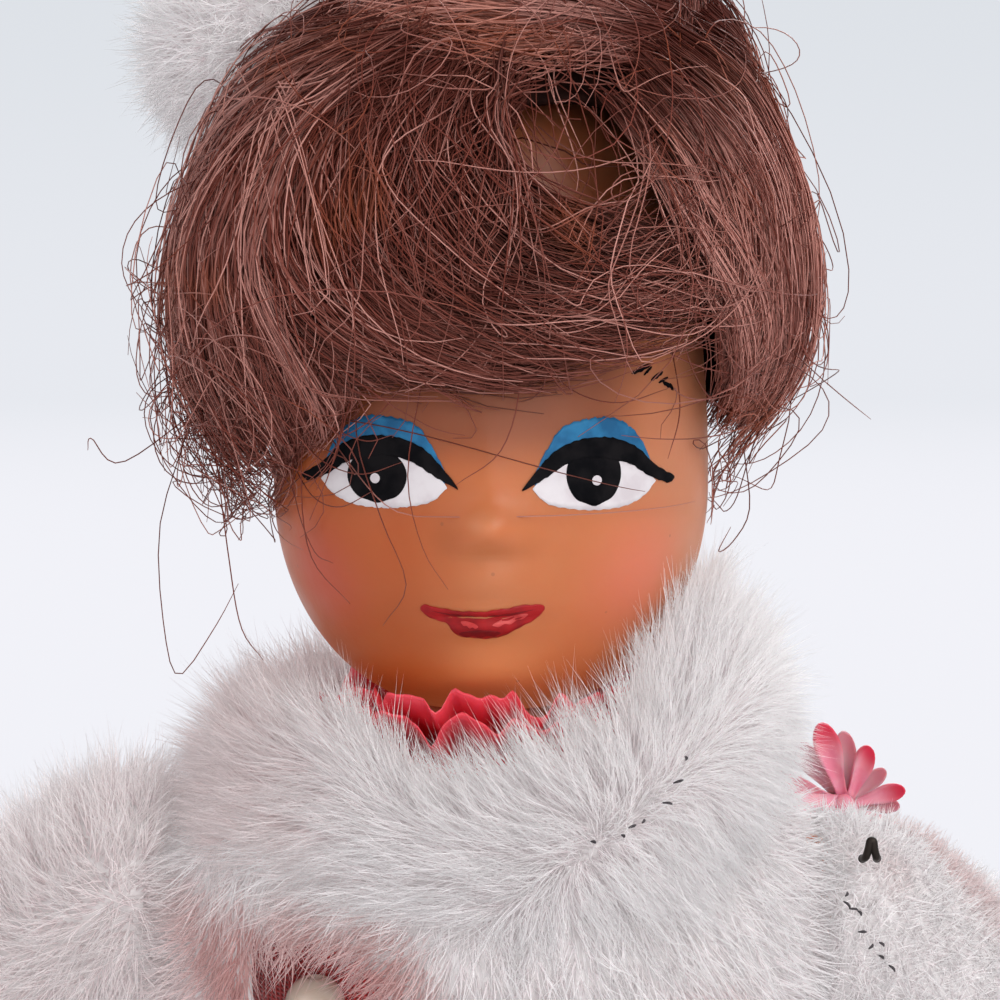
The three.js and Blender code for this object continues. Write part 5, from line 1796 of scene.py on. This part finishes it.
def sleeve(side):
    """A fur tube round the upper arm, cut flat where it turns against the coat."""
    name = "left" if side > 0 else "right"
    rows = 34
    columns = 48
    away = np.array([math.cos(ARM_DROP), 0, -math.sin(ARM_DROP)])
    low = 2.6 if side > 0 else 0.9
    start = np.array([ARM_BALL_X + 0.7, 0.0, SHOULDER_Z - low])
    knee = start + np.array([4.2, 0, -1.6])
    end = np.array([ARM_BALL_X, 0, SHOULDER_Z]) + away * SLEEVE_LENGTH
    share = np.linspace(0, 1, rows)[:, None]
    path = start * (1 - share) ** 2 + 2 * knee * share * (1 - share) + end * share**2
    way = unit(np.gradient(path, axis=0))
    way[0] = (1, 0, 0)
    stations = [0, 0.12, 0.4, 0.7, 0.92, 1.0]
    radii = SLEEVE_RADIUS * np.interp(share[:, 0], stations, [0.97, 1.03, 1.02, 0.99, 0.93, 0.8])
    turn = np.arange(columns) / columns * TURN
    lines = []
    for point, along, radius in zip(path, way, radii):
        across = np.array([0.0, 1.0, 0.0])
        upward = np.cross(along, across)
        ring = np.outer(np.cos(turn), across) + np.outer(np.sin(turn), upward)
        lines.append(point + ring * radius * np.array([1, 0.97, 1]) * (0.9 if side > 0 else 0.86))
    cuff = path[-1] + (lines[-1] - path[-1]) * 0.62 - away * 1.4
    lines.append(cuff)
    lines.append(path[-1] + (lines[-2] - path[-1]) * 0.5 - away * 4.0)
    points = np.concatenate(lines)
    points[:, 0] *= side
    points[:, 0] = side * np.maximum(side * points[:, 0], SLEEVE_START)
    faces = grid_faces(rows + 2, columns)
    faces.append(tuple(reversed(range(columns))))
    faces.append(tuple(range((rows + 1) * columns, (rows + 2) * columns)))
    skin = mesh_object(name + "_sleeve_cloth", points, faces)
    turn_outward(skin)
    normal = point_normals(skin)
    x = side * points[:, 0]
    z = points[:, 2]
    outward = away * np.array([side, 1, 1])
    root = smooth_step(SLEEVE_START, SLEEVE_START + 1, x)
    inside = np.ones(len(points))
    inside[rows * columns:] = 0
    top = smooth_step(0.1, 0.7, normal[:, 2])
    if side > 0:
        comb = normal * 0.8 + outward * 0.5
        pile = 1.0
        # Patches of wear on the doll's left sleeve, tinted pink where they face up
        patches = 0.5 + 0.5 * np.sin(x * 0.9 + points[:, 1] * 0.8)
        pink_share = smooth_step(0.2, 0.9, patches) * smooth_step(18, 22, x)
        stain_and_shade = 0.34 * pink_share * smooth_step(0.5, 0.8, normal[:, 2])
    else:
        comb = normal * 0.7 + outward * 0.35 * (1 - top)[:, None]
        comb = comb + np.array([0.05, -0.1, 0.75]) * top[:, None]
        pile = 3.8
        # Painted shade: the doll's right sleeve, away from the lamp, is tinted darker all over and more
        # towards its lower end
        stain_and_shade = 0.09 + 0.12 * smooth_step(82, 76, z)
    lift = np.array([-side * 0.7, 0, 0.3])
    comb = comb + lift * (1 - root)[:, None]
    combed(skin, comb, (0.85 + 0.15 * root), np.maximum(0.8, root) * inside, stain_and_shade)
    seed = 6 if side > 0 else 7
    if side > 0:
        matted = {"tuft": 0.7, "joints": 1, "pull": 0.15}
        fur("left_sleeve_down", skin, "left_arm", [], seed + 10, 32, pile, 0.05, **matted)
    else:
        fur("right_sleeve_fur", skin, "right_arm", [], seed, 9, pile)
        fur("right_sleeve_down", skin, "right_arm", [], seed + 10, 18, pile * 0.75, 0.038, joints=1)
    finished(skin, FUR_BACKING, name + "_arm", [name + "_sleeve"])


def hat():
    """A soft fur hat at the back of the crown, tipped to the doll's right."""
    points, faces = ball((0, 0, 0), (12, 9.6, 6.96), 60, 34)
    lobes = 1 + 0.02 * np.sin(np.arctan2(points[:, 1], points[:, 0]) * 7)
    points = points * lobes[:, None]
    tilt = -0.25
    x = points[:, 0] * math.cos(tilt) + points[:, 2] * math.sin(tilt)
    z = -points[:, 0] * math.sin(tilt) + points[:, 2] * math.cos(tilt)
    points = np.column_stack([x - 6.0, points[:, 1] + 8.2, z + 130.2])
    skin = mesh_object("hat_pad", points, faces)
    turn_outward(skin)
    normal = point_normals(skin)
    comb = normal * 0.9 + np.array([-0.1, 0.0, -0.15])
    combed(skin, comb, np.full(len(points), 1.0), np.full(len(points), 1.0), np.zeros(len(points)))
    fur("hat_fur", skin, "head", [], 8, 6.2, 2.8, 0.048, 24.0)
    fur("hat_down", skin, "head", [], 18, 14, 2.0, 0.045, joints=1)
    finished(skin, FUR_BACKING, "head", ["fur_hat"])


collar()
cape()
sleeve(1)
sleeve(-1)
hat()


# Dress and trimmings


def petal(length, width, cup, lift, thickness, spoon):
    """A thin rounded petal along +X, hollow like a spoon where asked."""
    rows = 11
    columns = 7
    t = 1 - (1 - np.linspace(0, 1, rows)[:, None]) ** 1.5
    s = np.linspace(-1, 1, columns)[None, :]
    round_end = np.sqrt(np.clip(1 - (np.maximum(t - 0.66, 0) / 0.345) ** 2, 0.03, 1))
    half = width / 2 * round_end * (0.42 + 0.58 * smooth_step(0.1, 0.75, t))
    x = length * t + 0 * s
    y = half * s
    z = lift * t**1.3 + cup * (s**2) * np.sin(t * math.pi) - spoon * np.sin(t * math.pi)
    top = np.stack(np.broadcast_arrays(x, y, z), -1).reshape(-1, 3)
    low = top - np.array([0, 0, thickness])
    count = rows * columns
    faces = [tuple(reversed(face)) for face in grid_faces(rows, columns, closed=False)]
    faces += [tuple(index + count for index in reversed(face)) for face in faces]
    for here, after in rim_pairs(rows, columns):
        faces.append((here, after, after + count, here + count))
    along = np.tile(np.repeat(t[:, 0], columns), 2)
    return np.concatenate([top, low]), faces, along


def set_round(obj, count, radius, height, start, uneven, seed, material):
    """Repeats an object round the Z axis."""
    values = {"Count": count, "Radius": radius * MM, "Height": height * MM, "Start": start}
    values.update({"Unevenness": uneven, "Seed": seed, "Material": material})
    return run_tree(obj, ROUND_ROW, values)


def petal_row(name, form, count, radius, height, start, uneven, seed, material):
    points, faces, along = form
    obj = mesh_object(name, points, faces)
    turn_outward(obj)
    point_values(obj, "along", along)
    return set_round(obj, count, radius, height, start, uneven, seed, material)


def joined(name, objects):
    """Joins plain meshes into one piece."""
    shape = bmesh.new()
    for obj in objects:
        shape.from_mesh(obj.data)
    mesh = bpy.data.meshes.new(name)
    shape.to_mesh(mesh)
    shape.free()
    for obj in objects:
        bpy.data.objects.remove(obj)
    mesh.shade_smooth()
    return new_object(name, mesh)


def frill(form, reach, low, lift, seed):
    """A gathered strip of thin cloth round the neck with a ragged, crumpled edge."""
    rng = np.random.default_rng(seed)
    columns = 240
    rows = 9
    turn = np.arange(columns) / columns * TURN
    share = np.linspace(0, 1, rows)[:, None]
    folds = np.zeros((rows, columns))
    edge = np.zeros(columns)
    for waves, size in ((7, 0.24), (12, 0.34), (19, 0.32), (31, 0.2), (47, 0.1)):
        phase = rng.uniform(0, TURN)
        folds += size * np.sin(waves * turn + phase + 1.2 * share * np.sin(3 * turn + phase))
        edge += size * 0.6 * np.sin(waves * turn + rng.uniform(0, TURN))
    radius = 5.1 + share * (reach + edge)
    height = low + lift * share**1.2 + folds * smooth_step(0, 0.7, share)
    height = height - 1.6 * smooth_step(-6.8, -8.4, radius * np.cos(turn))
    sheet = np.stack([radius * np.cos(turn), radius * np.sin(turn), height], -1).reshape(-1, 3)
    faces = grid_faces(rows, columns)
    count = len(sheet)
    faces += [tuple(index + count for index in reversed(face)) for face in faces]
    for column in range(columns):
        after = (column + 1) % columns
        last = (rows - 1) * columns
        faces.append((column, column + count, after + count, after))
        faces.append((last + column, last + after, last + after + count, last + column + count))
    form.add(np.concatenate([sheet, sheet - np.array([0, 0, 0.14])]), faces)
    return np.tile(np.repeat(share[:, 0], columns), 2)


def neck_ruffle():
    form = Form()
    along = [frill(form, 3.7, 92.6, 2.2, 31), frill(form, 3.4, 93.0, 3.0, 32)]
    profile = [(4.95, 91.6), (5.6, 91.8), (5.9, 92.4), (5.5, 93.1), (4.95, 93.2)]
    form.add(*turned_profile(profile, 48))
    along.append(np.zeros(len(profile) * 48))
    ruffle = form.make("neck_frill", outward=True)
    point_values(ruffle, "along", np.concatenate(along))
    finished(ruffle, RUFFLE, "body", ["neck_ruffle"])


def shoulder_flower():
    front = petal_row(
        "flower_front", petal(4.6, 1.6, 0.4, 0.9, 0.5, 0.4), 8, 0.6, 0.0, 0.49, 0.09, 41, PINK,
    )
    form = petal(4.0, 1.4, 0.4, 0.2, 0.45, 0.4)
    behind = petal_row("pale_petals", form, 8, 0.7, -0.6, 0.92, 0.09, 42, PALE_PINK)
    knob = Form().add(*ball((0, 0, 0.4), (0.9, 0.9, 0.7), 18, 10)).make("flower_knob", outward=True)
    point_values(knob, "along", np.full(len(knob.data.vertices), 0.2))
    bloom = joined("pink_flower", [front, knob])
    behind.data.shade_smooth()
    for row in (bloom, behind):
        for vertex in row.data.vertices:
            toward = vertex.co.x / max(math.hypot(vertex.co.x, vertex.co.y), 1e-6)
            shrink = 1 - 0.36 * float(smooth_step(-0.35, 0.6, toward))
            vertex.co.x *= shrink
            vertex.co.y *= shrink
    place = Matrix.Translation(Vector((20.0, 12.4, 86.9)) * MM) @ Matrix.Rotation(math.pi / 2, 4, "X")
    bloom.data.transform(place)
    behind.data.transform(place)
    finished(bloom, PINK, "body", ["shoulder_flower"])
    finished(behind, PALE_PINK, "body")
    path = smooth_line([(20.0, 12.7, 86.9), (17.2, 11.2, 87.2), (14.4, 8.0, 87.0), (12.2, 4.6, 85.9)], 20)
    stalk = Form().add(*sweep(path, 0.65, 12)).make("flower_stalk", outward=True)
    point_values(stalk, "along", np.zeros(len(stalk.data.vertices)))
    finished(stalk, PINK, "body")


def dress_hook():
    """The black wire hook sewn on the front of the left sleeve."""
    path = []
    for x, lift, z in (
        (-0.42, -0.3, -0.62),
        (-0.3, 0.25, -0.4),
        (-0.16, 0.45, 0.1),
        (-0.1, 0.5, 0.42),
        (0.02, 0.5, 0.5),
        (0.13, 0.5, 0.4),
        (0.18, 0.45, 0.08),
        (0.34, 0.25, -0.38),
        (0.48, -0.3, -0.6),
    ):
        path.append((ARM_BALL_X + 2.2 + x * 0.8, -5.9 - lift, SHOULDER_Z + 3.0 + z * 0.95))
    line = smooth_line(path, 60)
    form = Form().add(*sweep(line, 0.2, 12))
    form.add(*ball(line[0], (0.22, 0.22, 0.22), 14, 8))
    form.add(*ball(line[-1], (0.22, 0.22, 0.22), 14, 8))
    finished(form.make("black_dress_hook"), DARK_STEEL, "left_arm", ["dress_hook"])


def pearl_button():
    low, high = (np.array(corner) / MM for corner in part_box("pearl_button"))
    middle = (low + high) / 2
    middle[1] = low[1] + 1.5
    profile = []
    for angle in np.linspace(-70, 70, 15):
        profile.append((1.5 * math.cos(math.radians(angle)), 1.5 * math.sin(math.radians(angle))))
    profile += [(0.32, 1.36), (0.3, 0.0), (0.32, -1.36)]
    points, faces = turned_profile(profile, 32)
    bead = Form().add(points + middle, faces).make("cream_bead", outward=True)
    finished(bead, PEARL, "body", ["pearl_button"])


TORSO = [
    (-12, 8.5, 7.63),
    (-7, 10.9, 9.81),
    (-1.5, 10.1, 10.1),
    (1.5, 10.1, 10.1),
    (8.4, 11.15, 9.07),
    (14, 12.2, 8.4),
    (19, 12.7, 7.06),
    (21.8, 8.64, 5.54),
    (23.5, 5.1, 4.9),
]


def torso_loop(rise, grow, columns=72):
    levels = np.array(TORSO)
    wide = np.interp(rise, levels[:, 0], levels[:, 1]) + grow
    deep = np.interp(rise, levels[:, 0], levels[:, 2]) + grow
    return oval(wide, deep, WAIST_Z + rise, columns)


def bodice():
    """The red dress top, gathered a little where the skirt ring holds it."""
    lines = []
    for rise in np.linspace(-4.9, 18.1, 44):
        loop = torso_loop(rise, 0.62, 144)
        turn = np.arange(144) / 144 * TURN
        gather = 0.14 * np.sin(turn * 30 + np.sin(rise * 0.7)) * smooth_step(9, 1, abs(rise))
        gather += 0.1 * np.sin(turn * 5 + rise * 0.5)
        loop[:, 0] += np.cos(turn) * gather
        loop[:, 1] += np.sin(turn) * gather
        lines.append(loop)
    points, faces = loft(lines, False, False)
    cloth = mesh_object("red_bodice", points, faces)
    thicken(cloth, 0.3, 0)
    finished(cloth, RED_CLOTH, "body", ["bodice"])


def stitches(name, body, line, count, seed):
    """Dark ends of sewing thread that show between the tufts of fur."""
    form = Form()
    rng = np.random.default_rng(seed)
    for middle in smooth_line(line, count):
        middle = middle + rng.normal(0, 0.25, 3) * np.array([1, 0.4, 1])
        lean = rng.uniform(0, TURN)
        step = np.array([math.cos(lean), 0, math.sin(lean)]) * rng.uniform(0.08, 0.24)
        thread = smooth_line([middle - step, middle + np.array([0.05, -0.15, 0.05]), middle + step], 7)
        form.add(*sweep(thread, [0.035, 0.055, 0.07, 0.075, 0.07, 0.055, 0.035], 6))
    finished(form.make(name, outward=True), STITCH, body)


neck_ruffle()
shoulder_flower()
dress_hook()
pearl_button()
bodice()
stitches("collar_thread", "body", [(9.4, -12.0, 93.8), (7.6, -13.0, 91.2), (5.1, -14.4, 90.2)], 7, 5)
stitches("sleeve_thread", "left_arm", [(17.3, -6.9, 86.2), (18.3, -7.2, 84.5), (19.6, -7.2, 82.7)], 9, 6)


# Arms and body


def arm(side):
    """A moulded arm with a mitten hand, its finger lines pressed in."""
    name = "left" if side > 0 else "right"
    away = np.array([math.cos(ARM_DROP), 0, -math.sin(ARM_DROP)])
    down = np.array([math.sin(ARM_DROP), 0, math.cos(ARM_DROP)])
    start = np.array([ARM_BALL_X, 0, SHOULDER_Z])
    form = Form()
    shares = np.linspace(0, 1, 30)
    path = start + np.outer(shares * ARM_LENGTH, away)
    radii = np.interp(shares, [0, 0.25, 0.55, 0.85, 1], [2.55, 2.85, 2.72, 2.19, 1.9])
    form.add(*sweep(path, radii, 28))
    form.add(*ball(start, (2.6, 2.6, 2.6), 28, 18))
    peg = np.array([[x, 0, SHOULDER_Z] for x in (8.7, 10.0, 13.0, 16.0)])
    form.add(*sweep(peg, 1.6, 20))
    form.add(*sweep(peg[:1] + np.array([[-1.2, 0, 0], [-0.6, 0, 0], [0, 0, 0]]), [2.6, 2.65, 2.6], 20))
    wrist = start + away * (ARM_LENGTH - 0.6)

    def in_hand(along, across, lift):
        return wrist + away * along + np.array([0, 1, 0]) * across + down * lift

    palm = np.array([in_hand(t, 0, 0) for t in np.linspace(-0.6, 4.6, 12)])
    girths = np.interp(np.linspace(0, 1, 12), [0, 0.3, 0.8, 1], [1.8, 2.1, 2.3, 2.0])
    points, faces = sweep(palm, girths, 20)
    flat = points - wrist
    flat -= np.outer(flat @ down, down) * 0.28
    form.add(flat + wrist, faces)
    for across, reach in ((-1.65, 6.6), (-0.55, 7.4), (0.55, 7.3), (1.6, 6.4)):
        steps = np.linspace(2.6, reach, 10)
        line = np.array([in_hand(t, across * (1 - 0.02 * t), -0.02 * t * t) for t in steps])
        form.add(*sweep(line, [0.85, 0.88, 0.88, 0.86, 0.84, 0.82, 0.8, 0.74, 0.6, 0.3], 12))
    line = smooth_line([in_hand(1.0, -1.4, 0), in_hand(2.4, -2.6, 0.1), in_hand(4.2, -3.2, 0.1)], 10)
    form.add(*sweep(line, [0.9, 0.9, 0.9, 0.88, 0.86, 0.84, 0.8, 0.74, 0.6, 0.3], 12))
    form.points = [[side * x, y, z] for x, y, z in form.points]
    piece = form.make(name + "_arm_moulded", outward=True)
    fused(piece, 0.33, 3)
    finished(piece, VINYL, name + "_arm", [name + "_arm"])


def leg_loops(side):
    x = side * 5.3
    shoe_y = -2.8
    levels = [
        (0.0, 3.1, 6.2, shoe_y),
        (0.5, 3.35, 6.5, shoe_y),
        (2.5, 3.3, 6.5, shoe_y),
        (4.0, 2.9, 5.46, shoe_y * 0.85),
        (5.75, 2.84, 3.51, shoe_y * 0.15),
        (8.5, 2.7, 2.7, 0),
        (20.6, 4.2, 4.2, 0.4),
        (31.2, 3.6, 3.6, 0),
        (46.8, 4.8, 4.8, 0),
        (60.5, 4.8, 5.28, 0),
    ]
    loops = []
    for z, wide, deep, y in smooth_line(levels, 90):
        loops.append(oval(wide, deep, max(z, 0.0), 40) + np.array([x, y, 0]))
    return loops


def doll_body():
    """Torso, legs with moulded shoes, and the neck with its knob inside the head."""
    form = Form()
    rises = np.linspace(-12, 23.5, 60)
    form.add(*loft([torso_loop(rise, -0.05, 64) for rise in rises]))
    form.add(*loft(leg_loops(1)))
    form.add(*loft(leg_loops(-1)))
    neck = [
        (0.02, 89.2), (4.7, 89.2), (4.7, 93.9), (3.5, 94.5), (3.5, 97.7), (4.9, 98.3), (4.6, 99.7),
        (0.02, 100.5),
    ]
    form.add(*loft([oval(radius, radius, height, 36) for radius, height in neck]))
    piece = form.make("moulded_body", outward=True)
    fused(piece, 0.62, 4)
    low = np.array([vertex.co.z for vertex in piece.data.vertices]).min()
    for vertex in piece.data.vertices:
        vertex.co.z = max(vertex.co.z - low if vertex.co.z < 0.002 else vertex.co.z, 0.0)
    finished(piece, BODY_PLASTIC, "body", ["body_front", "body_back"])


arm(1)
arm(-1)
doll_body()


# Skirt of safety pins


def pin_form():
    """The bent wire and the folded cap of one pin, hung by its coil, needle on +X."""
    turns = 1.5
    spread = CAP_WIDTH / 2 - PIN_WIRE * 1.4
    cap_end = -(PIN_LENGTH - COIL_OUTER)
    cap_top = cap_end + CAP_HEIGHT
    foot = cap_top - CAP_HEIGHT / 4
    wire = [(-spread, 0, foot), (-spread * 0.9, -0.2, foot * 0.6), (-spread * 0.8, -0.6, foot * 0.25)]
    for step in range(37):
        share = step / 36
        angle = math.pi - share * turns * TURN
        side = -COIL_HALF_SPAN + share * COIL_HALF_SPAN * 2
        wire.append((COIL_MEAN * math.cos(angle), side, COIL_MEAN * math.sin(angle)))
    wire += [(spread * 0.8, 0.6, foot * 0.25), (spread * 0.9, 0.2, foot * 0.6), (spread, 0, foot)]
    form = Form().add(*sweep(np.array(wire), PIN_WIRE / 2, 9))
    shoulder = CAP_WIDTH * 0.46
    outline = [(CAP_WIDTH / 2, cap_top), (CAP_WIDTH / 2 - 0.25, cap_top + 0.2)]
    outline += [(-CAP_WIDTH / 2 + 0.25, cap_top + 0.2), (-CAP_WIDTH / 2, cap_top)]
    for step in range(17):
        angle = math.pi + step / 16 * math.pi
        drop = cap_end + shoulder + shoulder * math.sin(angle)
        outline.append((CAP_WIDTH / 2 * math.cos(angle), drop))
    outline = np.array(outline)
    middle = np.array([0, -RING_TO_RING])
    hole = unit(outline - middle) * CAP_HOLE + middle
    rows = []
    for inward, depth in ((1.0, 0.55), (0.97, 0.86), (0.86, 1.0), (0.32, 1.0), (0.12, 0.92), (0.0, 0.7)):
        flat = hole + (outline - hole) * inward
        rows.append((flat, CAP_THICKNESS / 2 * depth))
    loops = [np.column_stack([flat[:, 0], np.full(len(flat), depth), flat[:, 1]]) for flat, depth in rows]
    loops += [loop * np.array([1, -1, 1]) for loop in reversed(loops)]
    loops.append(loops[0])
    points, faces = loft(loops, False, False)
    form.add(points, faces)
    return form


def bead_form(diameter, first, step):
    """Beads of one colour along the needle, every so many places."""
    cap_top = -(PIN_LENGTH - COIL_OUTER) + CAP_HEIGHT
    top = -COIL_OUTER - 1
    end = cap_top + 0.3
    pitch = (top - end) / 4
    spread = CAP_WIDTH / 2 - PIN_WIRE * 1.4
    needle_top = np.array([COIL_MEAN, COIL_HALF_SPAN, 0.0])
    needle_end = np.array([spread, 0.0, cap_top - CAP_HEIGHT / 4])
    form = Form()
    for index in range(first, 4, step):
        z = top - pitch * (index + 0.5)
        share = (needle_top[2] - z) / (needle_top[2] - needle_end[2])
        middle = needle_top + (needle_end - needle_top) * share
        profile = []
        for angle in np.linspace(-62, 62, 9):
            wide = diameter / 2 * math.cos(math.radians(angle)) ** 0.8
            tall = pitch * 0.44 * math.sin(math.radians(angle)) / math.sin(math.radians(62))
            profile.append((wide, tall))
        profile += [(0.55, pitch * 0.46), (0.45, 0.0), (0.55, -pitch * 0.46)]
        points, faces = turned_profile(profile, 16)
        form.add(points + middle, faces)
    return form


def skirt_row(name, form, flare, count, radius, height, start, material, nodes=()):
    lean = Matrix.Rotation(-flare, 4, "Y")
    obj = form.make(name, outward=True)
    obj.data.transform(lean)
    set_round(obj, count, radius, height, start, 0.0, 1, material)
    obj.data.shade_smooth()
    return finished(obj, material, "body", nodes)


def skirt():
    pin = pin_form()
    for name, flare, count, ring, height, start, bead, colours in (
        ("upper", 14, 11, WAIST_RING, WAIST_Z, 0.0, 5.2, (BEAD_WHITE, BEAD_RED)),
        ("lower", 15, 22, MIDDLE_RING, MIDDLE_Z, 0.5, 4.8, (BEAD_PINK, BEAD_WHITE)),
    ):
        flare = math.radians(flare)
        nodes = [f"{name}_pin_{index:02d}" for index in range(1, count + 1)]
        skirt_row(name + "_pins", pin, flare, count, ring, height, start, PIN_STEEL, nodes)
        for first, colour in enumerate(colours):
            label = f"{name}_beads_{'ab'[first]}"
            beads = bead_form(bead, first, 2)
            skirt_row(label, beads, flare, count, ring, height, start, colour)


def skirt_ring(name, radius, height):
    """A ring of round wire, closed by two butted ends."""
    steps = 120
    turn = np.arange(steps) / steps * TURN
    loops = []
    for angle in turn:
        section = np.arange(12) / 12 * TURN
        reach = radius + RING_WIRE / 2 * np.cos(section)
        rise = height + RING_WIRE / 2 * np.sin(section)
        loops.append(np.column_stack([reach * math.cos(angle), reach * math.sin(angle), rise]))
    points, faces = loft(loops + loops[:1], False, False)
    ring = mesh_object(name + "_wire", points, faces)
    turn_outward(ring, 0.005)
    finished(ring, RING_STEEL, "body", [name])


skirt()
skirt_ring("waist_ring", WAIST_RING, WAIST_Z)
skirt_ring("middle_ring", MIDDLE_RING, MIDDLE_Z)
skirt_ring("hem_ring", HEM_RING, HEM_Z)
